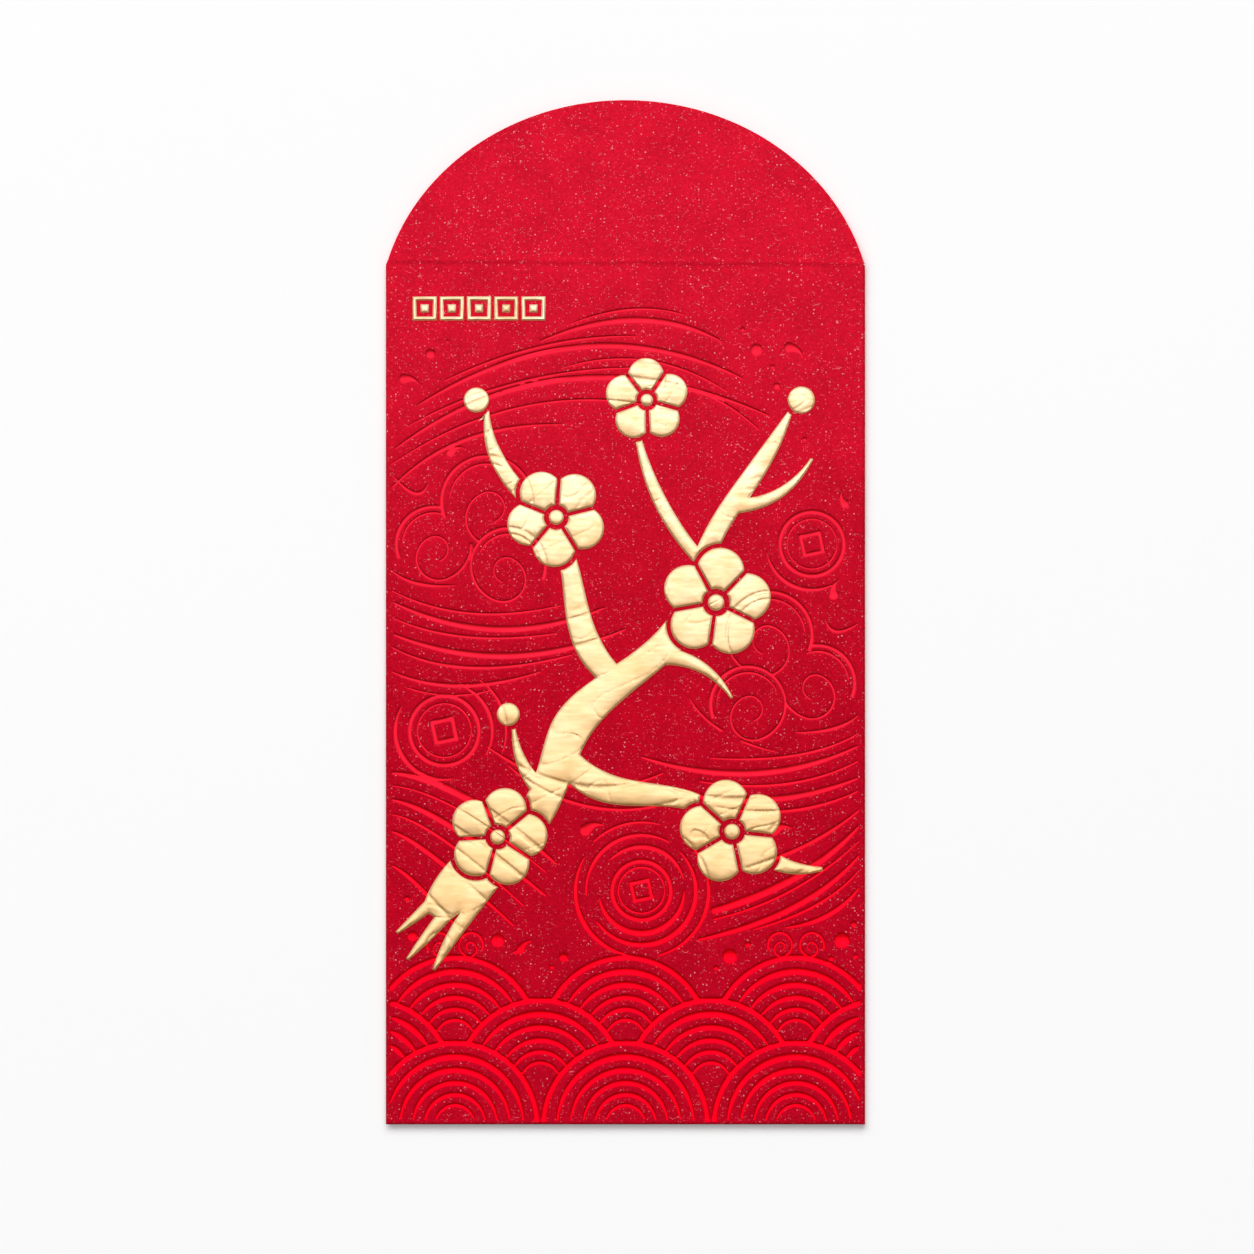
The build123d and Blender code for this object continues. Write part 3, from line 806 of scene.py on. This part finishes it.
def wave_strokes():
    """Rows of scallops with finer bands inside, each in front of the row above, with curls on the crests."""
    strokes = []
    for row in range(WAVE_ROWS):
        covers = wave_covers(row)
        for x, y in wave_centres(row):
            strokes += uncovered(even(arc(x, y, WAVE_RADIUS - WAVE_LINE / 2, 0, 360), WAVE_LINE), covers)
            for radius, width in WAVE_BANDS:
                for run in uncovered(even(arc(x, y, radius, -90, 360), width), covers):
                    strokes.append(brushed([point for point, _ in run], width))
    for curl in CREST_CURLS:
        strokes += uncovered(fading(volute(*curl, CURL_LINE), CURL_LINE), wave_covers(WAVE_ROWS))
    return strokes


def cloud_strokes(name):
    """Winding lobes of a cloud, each in front of the last, and the tails behind them."""
    lobes, tails = CLOUDS[name]
    strokes = []
    for order, lobe in enumerate(lobes):
        covers = lobe_covers(lobes[order + 1:])
        x, y, radius, start, sense = lobe
        strokes += uncovered(fading(volute(*lobe, CLOUD_LINE), CLOUD_LINE), covers)
        echo = arc(x, y, radius * ECHO_REACH, start + sense * ECHO_START, sense * ECHO_SWEEP)
        strokes += uncovered(brushed(echo, ECHO_LINE), covers)
    for start, middle, end, width in tails:
        strokes += uncovered(brushed(bow(start, middle, end), width), lobe_covers(lobes))
    return strokes


def bowed_strokes(lines, *whirls):
    """Bowed brush strokes behind the clouds, coins and waves, that end at any whirl."""
    covers = [*all_covers(), *whirls]
    return [run for start, middle, end, width in lines
            for run in uncovered(brushed(bow(start, middle, end), width), covers)]


def whirl_strokes():
    """Round brush strokes of the whirls, behind the clouds, coins and waves."""
    covers = all_covers()
    return [run for x, y, radius, start, sweep, width in WHIRLS
            for run in uncovered(brushed(arc(x, y, radius, start, sweep), width), covers)]


def drop_stroke(x, y, radius):
    """Round drop: the shortest stroke, all ends."""
    return even([(x, y), (x + SHEET_MERGE, y)], 2 * radius)


def petal_stroke(x, y, length, turn):
    """Petal that bows and thins from a broad head to a fine tip."""
    way = Vector((cos(radians(turn)), sin(radians(turn)))) * length / 2
    belly = Vector((-way.y, way.x)) * PETAL_BOW * 2
    head, tip = Vector((x, y)) - way * (1 - PETAL_BREADTH), Vector((x, y)) + way
    return fading(bow(head, (head + tip) / 2 + belly, tip), length * PETAL_BREADTH, PETAL_TIP)


def coin_strokes(x, y, radius):
    """Outline, inner rim and square frame of a coin."""
    turns = [radians(COIN_TURN + 45 + 90 * side) for side in range(4)]
    ways = [Vector((cos(turn), sin(turn))) for turn in turns]
    corners = [Vector((x, y)) + way * radius * (COIN_FRAME + COIN_HOLE) / 2 ** 1.5 for way in ways]
    sides = [even(bow(start, (start + end) / 2, end), radius * (COIN_FRAME - COIN_HOLE) / 2)
             for start, end in zip(corners, [*corners[1:], corners[0]])]
    return [even(arc(x, y, radius - COIN_LINE / 2, 0, 360), COIN_LINE),
            even(arc(x, y, radius * COIN_RIM_REACH, 0, 360), COIN_RIM), *sides]


@lru_cache(maxsize=None)
def red_strokes():
    """Every stroke of red foil, by the piece that it is in."""
    return {
        "red_sea_waves_foil": wave_strokes(),
        "red_cloud_left_foil": cloud_strokes("red_cloud_left"),
        "red_cloud_right_foil": cloud_strokes("red_cloud_right"),
        "red_wind_streams_foil": bowed_strokes(STREAMS),
        "red_water_currents_foil": bowed_strokes(CURRENTS, WHIRL_REACH) + whirl_strokes(),
        "red_spray_foil": [drop_stroke(*drop) for drop in DROPS],
        "red_petals_foil": [petal_stroke(*petal) for petal in PETALS],
        "red_coins_foil": [stroke for coin in COINS for stroke in coin_strokes(*coin)],
    }


def stroke_reach(spots):
    """How far each spot lies outside the nearest stroke's edge, below 0 within it, and whose that is."""
    reach = np.full(len(spots), FAR_FROM_STROKES)
    owner = np.full(len(spots), -1)
    for piece, strokes in enumerate(red_strokes().values()):
        for stroke in strokes:
            line = np.array([(*point, width / 2) for point, width in stroke])
            margin = line[:, 2].max() + STROKE_MARGIN
            low, high = line[:, :2].min(axis=0) - margin, line[:, :2].max(axis=0) + margin
            inside = (spots > low) & (spots < high)
            near = np.flatnonzero(inside.all(axis=1))
            start, step = line[:-1], np.diff(line, axis=0)
            offset = spots[near, None, :] - start[:, :2]
            share = np.clip((offset * step[:, :2]).sum(axis=2) / (step[:, :2] ** 2).sum(axis=1), 0, 1)
            gap = offset - share[..., None] * step[:, :2]
            outside = (np.hypot(gap[..., 0], gap[..., 1]) - start[:, 2] - share * step[:, 2]).min(axis=1)
            better = outside < reach[near]
            reach[near[better]] = outside[better]
            owner[near[better]] = piece
    return reach, owner


def smooth(share):
    """Share from 0 to 1 with soft ends."""
    share = np.clip(share, 0, 1)
    return share * share * (3 - 2 * share)


def stamped_depth(reach):
    """Depth of the stamped card, in millimetres, by the distance outside a stroke's edge."""
    foil = bpy.context.scene.envelope_foil
    shoulder = foil.shoulder * np.exp(-np.maximum(reach, 0) * MM / foil.soften)
    return (shoulder + (foil.red_depth - foil.shoulder) * smooth(-reach * MM / foil.wall)) / MM


def crease_rise(x, y):
    """Height of the card about the crease: a slow dip, a rise to the ridge and a fall on to the flap."""
    half = CREASE_HIGH_CORNER.x / MM
    ridge = CREASE_Y + CREASE_TILT * x / half
    for breadth, pace, start in CREASE_SWAYS:
        ridge = ridge + breadth * np.sin(pace * x + start)
    rise = np.zeros(len(x))
    for (start, low), (end, high) in zip(CREASE_PROFILE, CREASE_PROFILE[1:]):
        rise += (high - low) * smooth((y - ridge - start) / (end - start))
    return rise * smooth((half - np.abs(x)) / CREASE_END)


def gold_tree():
    """Search tree of the gold forms, for the card that is pressed up beside them."""
    shape = bmesh.new()
    for node in GOLD_NODES:
        shape.from_mesh(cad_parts[node].data)
    tree = BVHTree.FromBMesh(shape)
    shape.free()
    return tree


@lru_cache(maxsize=None)
def front_sheet():
    """Front of the card cut along its strokes.

    Gives its spots, their levels and reach in millimetres, its triangles and the piece that has each one.
    No mesh operator cuts a sheet along strokes that cross, so a triangulation that keeps them does it.
    """
    foil = bpy.context.scene.envelope_foil
    low, high = np.array(FRONT_LOW_CORNER.xy) / MM, np.array(FRONT_HIGH_CORNER.xy) / MM
    across = np.linspace(low[0], high[0], ceil((high[0] - low[0]) / SHEET_STEP) + 1)
    along = np.linspace(low[1], high[1], ceil((high[1] - low[1]) / SHEET_STEP) + 1)
    loops = [[(x, low[1]) for x in across[:-1]] + [(high[0], y) for y in along[:-1]]
             + [(x, high[1]) for x in across[:0:-1]] + [(low[0], y) for y in along[:0:-1]]]
    loops += [outline(stroke, grow / MM) for strokes in red_strokes().values() for stroke in strokes
              for grow in (-foil.wall, 0, foil.soften)]
    spots, edges = [], []
    for loop in loops:
        ring = range(len(spots), len(spots) + len(loop))
        spots += [Vector(np.clip(spot, low, high)) for spot in loop]
        edges += zip(ring, [*ring[1:], ring[0]])
    grid = np.array([(x, y) for x in across[1:-1] for y in (*along[1:-1], *CREASE_ROWS)])
    spots += [Vector(spot) for spot in grid[stroke_reach(grid)[0] > foil.soften / MM + SHEET_CLEAR]]
    spots, _, triangles, *_ = delaunay_2d_cdt(spots, edges, [], 0, SHEET_MERGE, False)
    spots = np.array(spots)
    reach = stroke_reach(spots)[0]
    fade = smooth(np.minimum(spots - low, high - spots).min(axis=1) / EDGE_FADE)
    gold = gold_tree()
    beside = np.array([gold.find_nearest((x * MM, y * MM, FRONT_TOP))[3] for x, y in spots])
    levels = foil.press / MM * (1 - smooth(beside / (PRESS_REACH * MM))) * fade
    levels += crease_rise(*spots.T) - stamped_depth(reach) * fade
    inside, owners = stroke_reach(spots[np.array(triangles)].mean(axis=1))
    owners[inside > -SHEET_MERGE] = -1
    return spots, levels, reach, triangles, owners


def add_red_piece(name, *nodes):
    """Piece of red foil that lines its own strokes in the front."""
    spots, levels, _, triangles, owners = front_sheet()
    own = [triangles[index] for index in np.flatnonzero(owners == list(red_strokes()).index(name))]
    shape = bmesh.new()
    verts = {index: shape.verts.new((*spots[index] * MM, FRONT_TOP + levels[index] * MM))
             for index in sorted({index for triangle in own for index in triangle})}
    for triangle in own:
        shape.faces.new([verts[index] for index in triangle])
    film = bmesh.ops.extrude_face_region(shape, geom=shape.faces[:], use_keep_orig=True)["geom"]
    bmesh.ops.translate(shape, verts=verts_in(film), vec=(0, 0, -FOIL_FILM * MM))
    piece = add_piece(name, close_mesh(name, shape, RED_SHARP), finish_material("Red foil"))
    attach(piece, "pocket")
    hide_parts(*nodes)


class ENVELOPE_OT_stage(bpy.types.Operator):
    """Set out the table, the soft light and the camera straight above"""

    bl_idname = "envelope.stage"
    bl_label = "Stage"

    def execute(self, context):
        stage = context.scene.envelope_stage
        context.scene.view_settings.view_transform = "Standard"
        shape = bmesh.new()
        bmesh.ops.create_grid(shape, x_segments=1, y_segments=1, size=TABLE_HALF)
        bmesh.ops.translate(shape, verts=shape.verts, vec=(0, 0, -TABLE_GAP))
        mesh = bpy.data.meshes.new("table")
        shape.to_mesh(mesh)
        shape.free()
        table = bpy.data.objects.new("table", mesh)
        context.scene.collection.objects.link(table)
        mesh.materials.append(self.table_material(stage))
        context.scene.world = self.room(stage)
        self.softbox("overhead_softbox", *OVERHEAD_SOFTBOX, stage.overhead, turn=(0, 0, 0))
        self.softbox("far_softbox", *FAR_SOFTBOX, stage.far_side).visible_glossy = False
        self.softbox("under_softbox", *UNDER_SOFTBOX, stage.under)
        lens = bpy.data.cameras.new("camera")
        lens.sensor_width = SENSOR
        lens.lens = SENSOR * stage.camera_height / stage.frame_width
        camera = bpy.data.objects.new("camera", lens)
        camera.location = (*CAMERA_SHIFT, stage.camera_height + FRONT_TOP)
        context.scene.collection.objects.link(camera)
        context.scene.camera = camera
        return {"FINISHED"}

    def room(self, stage):
        """Even dim light from all round, in a room that looks white and that the foil mirrors.

        In the foil it is white beyond the flap, and warm with a dim band across it on the near side.
        """
        world = bpy.data.worlds.new("Room")
        world.use_nodes = True
        tree = world.node_tree
        back = tree.nodes["Background"]
        path = tree.nodes.new("ShaderNodeLightPath")
        way = tree.nodes.new("ShaderNodeTexCoord").outputs["Generated"]
        far = remap(tree, axis_of(tree, way, "Y"), *ROOM_DEPTH, smooth=True)
        height = axis_of(tree, way, "Z")
        high = remap(tree, height, *ROOM_CEILING, smooth=True)
        foot = remap(tree, height, *ROOM_FOOT, smooth=True)
        near = mix_colour(tree, combine(tree, "MAXIMUM", high, foot), stage.near_dusk, stage.near_room)
        sheen = mix_colour(tree, far, near, [stage.far_sheen] * 3)
        light = mix_colour(tree, path.outputs["Is Glossy Ray"], [stage.fill] * 3, sheen)
        clear = combine(tree, "MAXIMUM", path.outputs["Is Camera Ray"], path.outputs["Is Transmission Ray"])
        seen = mix_colour(tree, clear, light, (1, 1, 1))
        link(tree, seen, back.inputs["Color"])
        return world

    def table_material(self, stage):
        """White table top with pale shadows, clear from below, where it shows the envelope's back."""
        material = bpy.data.materials.new("Table")
        material.use_nodes = True
        tree = material.node_tree
        shader = tree.nodes["Principled BSDF"]
        shader.inputs["Base Color"].default_value = (*stage.floor, 1)
        shader.inputs["Roughness"].default_value = TABLE_ROUGHNESS
        shader.inputs["Specular IOR Level"].default_value = 0.0
        glow = tree.nodes.new("ShaderNodeEmission")
        glow.inputs["Strength"].default_value = 1.0
        top = tree.nodes.new("ShaderNodeMixShader")
        top.inputs["Fac"].default_value = stage.lift
        link(tree, shader.outputs["BSDF"], top.inputs[1])
        link(tree, glow.outputs["Emission"], top.inputs[2])
        clear = tree.nodes.new("ShaderNodeBsdfTransparent")
        path = tree.nodes.new("ShaderNodeLightPath")
        side = tree.nodes.new("ShaderNodeNewGeometry")
        seen = combine(tree, "MAXIMUM", path.outputs["Is Camera Ray"], path.outputs["Is Glossy Ray"])
        seen = combine(tree, "MAXIMUM", seen, path.outputs["Is Transmission Ray"])
        above = combine(tree, "SUBTRACT", 1.0, side.outputs["Backfacing"])
        blend = tree.nodes.new("ShaderNodeMixShader")
        link(tree, combine(tree, "MULTIPLY", seen, above), blend.inputs["Fac"])
        link(tree, clear.outputs["BSDF"], blend.inputs[1])
        link(tree, top.outputs["Shader"], blend.inputs[2])
        link(tree, blend.outputs["Shader"], tree.nodes["Material Output"].inputs["Surface"])
        return material

    def softbox(self, name, place, size, brightness, turn=None):
        """Even rectangular light of the given brightness, turned to the envelope if no turn is given."""
        lamp = bpy.data.lights.new(name, "AREA")
        lamp.shape = "RECTANGLE"
        lamp.size, lamp.size_y = size
        lamp.energy = brightness * pi * size[0] * size[1]
        light = bpy.data.objects.new(name, lamp)
        light.location = place
        light.rotation_euler = turn or Vector(place).to_track_quat("Z", "Y").to_euler()
        light.visible_camera = False
        bpy.context.scene.collection.objects.link(light)
        return light


class ENVELOPE_OT_red_waves(bpy.types.Operator):
    """Stamp the rows of waves in red foil"""

    bl_idname = "envelope.red_waves"
    bl_label = "Red waves"

    def execute(self, context):
        add_red_piece("red_sea_waves_foil", "red_sea_waves")
        return {"FINISHED"}


class ENVELOPE_OT_red_clouds(bpy.types.Operator):
    """Stamp the clouds with their tails in red foil"""

    bl_idname = "envelope.red_clouds"
    bl_label = "Red clouds"

    def execute(self, context):
        for node in CLOUDS:
            add_red_piece(f"{node}_foil", node)
        return {"FINISHED"}


class ENVELOPE_OT_red_streams(bpy.types.Operator):
    """Stamp the wind, the currents and the spray in red foil"""

    bl_idname = "envelope.red_streams"
    bl_label = "Red wind and water"

    def execute(self, context):
        add_red_piece("red_wind_streams_foil", "red_wind_streams")
        for name in ("red_water_currents_foil", "red_spray_foil", "red_petals_foil"):
            add_red_piece(name)
        return {"FINISHED"}


class ENVELOPE_OT_red_coins(bpy.types.Operator):
    """Stamp the coins in red foil"""

    bl_idname = "envelope.red_coins"
    bl_label = "Red coins"

    def execute(self, context):
        add_red_piece("red_coins_foil", "red_coins")
        return {"FINISHED"}


class ENVELOPE_OT_gold_foil(bpy.types.Operator):
    """Press the gold branch, blossoms, buds and fret over the red lines"""

    bl_idname = "envelope.gold_foil"
    bl_label = "Gold foil"

    def execute(self, context):
        for node in GOLD_NODES:
            shape = self.pressed(node, context.scene.envelope_foil)
            mesh = close_mesh(node, shape, GOLD_SHARP)
            piece = add_piece(f"{node}_foil", mesh, finish_material("Gold foil"))
            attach(piece, "pocket")
            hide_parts(node)
        return {"FINISHED"}

    def pressed(self, node, foil):
        """Closed foil form from a flat solid: pillowed edges, gentle dents, and dips over the red lines."""
        shape = bmesh.new()
        shape.from_mesh(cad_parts[node].data)
        bmesh.ops.remove_doubles(shape, verts=shape.verts, dist=WELD)
        top = max(vert.co.z for vert in shape.verts)
        walls = [face for face in shape.faces if abs(face.normal.z) < UPRIGHT]
        around = {vert for face in walls for vert in face.verts}
        corners = {vert: index for index, vert in enumerate(around)}
        edge_tree = BVHTree.FromPolygons([vert.co.copy() for vert in corners],
                                         [[corners[vert] for vert in face.verts] for face in walls])
        faces = [face for face in shape.faces if face.normal.z > FACING_UP]
        for inset in GOLD_INSETS:
            bmesh.ops.inset_region(shape, faces=faces, thickness=inset, use_even_offset=True,
                                   use_boundary=True)
        self.cut_grid(shape, faces, foil.gold_step)
        depths = stamped_depth(stroke_reach(np.array([vert.co.xy for vert in shape.verts]) / MM)[0])
        for vert, depth in zip(shape.verts, depths):
            if vert.co.z > top - LEVEL_SLACK:
                vert.co.z = self.level(vert.co, foil, top, edge_tree, depth * MM)
            else:
                vert.co.z -= foil.red_depth
        return shape

    def cut_grid(self, shape, faces, step):
        """Cut the flat top into small squares."""
        geom = list({item for face in faces for item in (face, *face.edges, *face.verts)})
        spots = [vert.co.copy() for vert in verts_in(geom)]
        for axis in (0, 1):
            way = Vector((1 - axis, axis, 0))
            low = floor(min(spot[axis] for spot in spots) / step) + 1
            high = ceil(max(spot[axis] for spot in spots) / step)
            for index in range(low, high):
                geom = bmesh.ops.bisect_plane(shape, geom=geom, dist=CUT_SLACK,
                                              plane_co=way * (index * step), plane_no=way)["geom"]

    def level(self, spot, foil, top, edge_tree, depth):
        """Height of the pressed foil at a spot on its top, over card stamped to a depth."""
        reach = edge_tree.find_nearest(spot)[3] / MM
        pillow = foil.gold_edge + (top - FRONT_TOP - foil.gold_edge) * tanh(reach / PILLOW_REACH)
        crown = CROWN_RISE * tanh(reach / CROWN_REACH)
        x, y, _ = spot / MM
        dents = 0.0
        for deep, pace, layer in DENTS:
            dents += deep * noise.noise(Vector((x * pace, y * pace, layer)))
        sway = noise.noise(Vector((x * SWAY_PACE, y * SWAY_PACE, SWAY_LAYER)))
        across = x * WRINKLE_PACE[0] + sway
        along = y * WRINKLE_PACE[1] - x * WRINKLE_SLANT + WRINKLE_SHIFT
        wrinkle = noise.noise(Vector((across, along, WRINKLE_LAYER)))
        dents -= WRINKLE_DEPTH * max(0.0, 1 - abs(wrinkle) / WRINKLE_BREADTH)
        marks = dents * MM - PRESSED_THROUGH * depth
        return FRONT_TOP + pillow + crown + marks * min(1.0, EDGE_SHARE + reach)


class ENVELOPE_OT_front_card(bpy.types.Operator):
    """Make the front panel of pearl card, stamped along the red foil and pressed up beside the gold"""

    bl_idname = "envelope.front_card"
    bl_label = "Front card"

    def execute(self, context):
        spots, levels, reach, triangles, _ = front_sheet()
        levels = np.where(reach < -SHEET_MERGE, levels - CARD_UNDER_FOIL, levels)
        shape = bmesh.new()
        verts = [shape.verts.new((*spot * MM, FRONT_TOP + level * MM))
                 for spot, level in zip(spots, levels)]
        for triangle in triangles:
            shape.faces.new([verts[index] for index in triangle])
        rim = [edge for edge in shape.edges if edge.is_boundary]
        sides = bmesh.ops.extrude_edge_only(shape, edges=rim)["geom"]
        for vert in verts_in(sides):
            vert.co.z = FRONT_TOP - CARD
        bmesh.ops.contextual_create(shape, geom=edges_in(sides))
        mesh = close_mesh("front_card", shape)
        piece = add_piece("front_card", mesh, finish_material("Pearl card"))
        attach(piece, "pocket")
        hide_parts("front_panel")
        return {"FINISHED"}


class ENVELOPE_OT_flap_card(bpy.types.Operator):
    """Make the flap of pearl card with its scored crease, in one with the front"""

    bl_idname = "envelope.flap_card"
    bl_label = "Flap card"

    def execute(self, context):
        card = context.scene.envelope_card
        shape = bmesh.new()
        bmesh.ops.create_circle(shape, cap_ends=True, segments=FLAP_SEGMENTS, radius=1.0)
        bmesh.ops.scale(shape, verts=shape.verts, vec=(*FLAP_RADII, 1))
        bmesh.ops.translate(shape, verts=shape.verts, vec=(0, FLAP_CENTRE, FRONT_TOP))
        foot = FLAP_LOW_CORNER.y
        cut(shape, (0, foot, 0), (0, 1, 0), clear_inner=True)
        for x in FLAP_COLUMNS:
            cut(shape, (x * MM, 0, 0), (1, 0, 0))
        for y in FLAP_ROWS:
            cut(shape, (0, y * MM, 0), (0, 1, 0))
        step = (foot - CREASE_LOW_CORNER.y) / CREASE_STRIPS
        flare = (CREASE_HIGH_CORNER.x / FLAP_HIGH_CORNER.x) ** (1 / CREASE_STRIPS)
        fold = [edge for edge in shape.edges if all(vert.co.y < foot + LEVEL_SLACK for vert in edge.verts)]
        for _ in range(CREASE_STRIPS):
            made = bmesh.ops.extrude_edge_only(shape, edges=fold)["geom"]
            bmesh.ops.translate(shape, verts=verts_in(made), vec=(0, -step, 0))
            bmesh.ops.scale(shape, verts=verts_in(made), vec=(flare, 1, 1))
            fold = edges_in(made)
        bmesh.ops.recalc_face_normals(shape, faces=shape.faces)
        if shape.faces[0].normal.z < 0:
            bmesh.ops.reverse_faces(shape, faces=shape.faces)
        under = bmesh.ops.extrude_face_region(shape, geom=shape.faces[:], use_keep_orig=True)["geom"]
        lower = set(verts_in(under))
        middle = (foot + CREASE_LOW_CORNER.y) / 2
        rises = crease_rise(*(np.array([vert.co.xy for vert in shape.verts]) / MM).T)
        for vert, rise in zip(shape.verts, rises):
            vert.co.z += rise * MM
            if vert in lower:
                away = min(1.0, abs(vert.co.y - middle) / (foot - middle))
                vert.co.z -= CARD - card.score_depth * (1 - away * away) ** 2
        mesh = close_mesh("flap_card", shape)
        piece = add_piece("flap_card", mesh, finish_material("Pearl card"))
        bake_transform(piece)
        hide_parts("flap_crease", "flap")
        return {"FINISHED"}


class ENVELOPE_OT_pocket_card(bpy.types.Operator):
    """Make the back panel and finish the folds, tabs and glue of the pocket"""

    bl_idname = "envelope.pocket_card"
    bl_label = "Pocket card"

    def execute(self, context):
        mesh = close_mesh("back_card", self.sunk_panel(context.scene.envelope_card))
        piece = add_piece("back_card", mesh, finish_material("Pearl card"))
        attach(piece, "pocket")
        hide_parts("back_panel")
        finishes = {
            "Pearl card": ("spine_fold", "left_fold", "bottom_fold"),
            "Card inside": ("side_glue_tab", "bottom_glue_tab"),
            "Dried glue": ("side_seam_glue", "bottom_seam_glue"),
        }
        for finish, nodes in finishes.items():
            for node in nodes:
                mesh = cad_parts[node].data
                mesh.materials.clear()
                mesh.materials.append(finish_material(finish))
        return {"FINISHED"}

    def sunk_panel(self, card):
        """Back panel that sinks a little where no glued tab lies behind it."""
        low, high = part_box("back_panel")
        side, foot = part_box("side_glue_tab")[1].x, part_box("bottom_glue_tab")[1].y
        size = high - low
        shape = bmesh.new()
        bmesh.ops.create_grid(shape, x_segments=ceil(size.x / BACK_STEP),
                              y_segments=ceil(size.y / BACK_STEP), size=0.5)
        bmesh.ops.scale(shape, verts=shape.verts, vec=(size.x, size.y, 1))
        bmesh.ops.translate(shape, verts=shape.verts,
                            vec=((low.x + high.x) / 2, (low.y + high.y) / 2, low.z))
        cut(shape, (low.x, high.y - MOUTH_CHAMFER, 0), (-1, 1, 0), clear_outer=True)
        for vert in shape.verts:
            inside = min(vert.co.x - side, vert.co.y - foot, high.x - vert.co.x)
            vert.co.z += card.show_through * smooth(inside / SINK_REACH)
        made = bmesh.ops.extrude_face_region(shape, geom=shape.faces[:], use_keep_orig=True)["geom"]
        bmesh.ops.translate(shape, verts=verts_in(made), vec=(0, 0, CARD))
        return shape


class ENVELOPE_PT_sidebar(bpy.types.Panel):
    """Steps and settings of the envelope"""

    bl_idname = "ENVELOPE_PT_sidebar"
    bl_label = "Red gift envelope"
    bl_space_type = "VIEW_3D"
    bl_region_type = "UI"
    bl_category = "Envelope"

    def draw(self, context):
        layout = self.layout
        for operator in OPERATORS:
            layout.operator(operator.bl_idname)
        scene = context.scene
        for settings in (scene.envelope_card, scene.envelope_foil, scene.envelope_stage):
            box = layout.box()
            for name in settings.__annotations__:
                box.prop(settings, name)


OPERATORS = (
    ENVELOPE_OT_stage,
    ENVELOPE_OT_red_waves,
    ENVELOPE_OT_red_clouds,
    ENVELOPE_OT_red_streams,
    ENVELOPE_OT_red_coins,
    ENVELOPE_OT_gold_foil,
    ENVELOPE_OT_front_card,
    ENVELOPE_OT_flap_card,
    ENVELOPE_OT_pocket_card,
)
CLASSES = (EnvelopeCard, EnvelopeFoil, EnvelopeStage, *OPERATORS, ENVELOPE_PT_sidebar)


def register():
    for each in CLASSES:
        bpy.utils.register_class(each)
    bpy.types.Scene.envelope_card = PointerProperty(type=EnvelopeCard)
    bpy.types.Scene.envelope_foil = PointerProperty(type=EnvelopeFoil)
    bpy.types.Scene.envelope_stage = PointerProperty(type=EnvelopeStage)


def unregister():
    del bpy.types.Scene.envelope_card
    del bpy.types.Scene.envelope_foil
    del bpy.types.Scene.envelope_stage
    for each in reversed(CLASSES):
        bpy.utils.unregister_class(each)


def main():
    register()
    bpy.ops.envelope.stage()
    bpy.ops.envelope.red_waves()
    bpy.ops.envelope.red_clouds()
    bpy.ops.envelope.red_streams()
    bpy.ops.envelope.red_coins()
    bpy.ops.envelope.gold_foil()
    bpy.ops.envelope.front_card()
    bpy.ops.envelope.flap_card()
    bpy.ops.envelope.pocket_card()


if __name__ == "__main__":
    main()
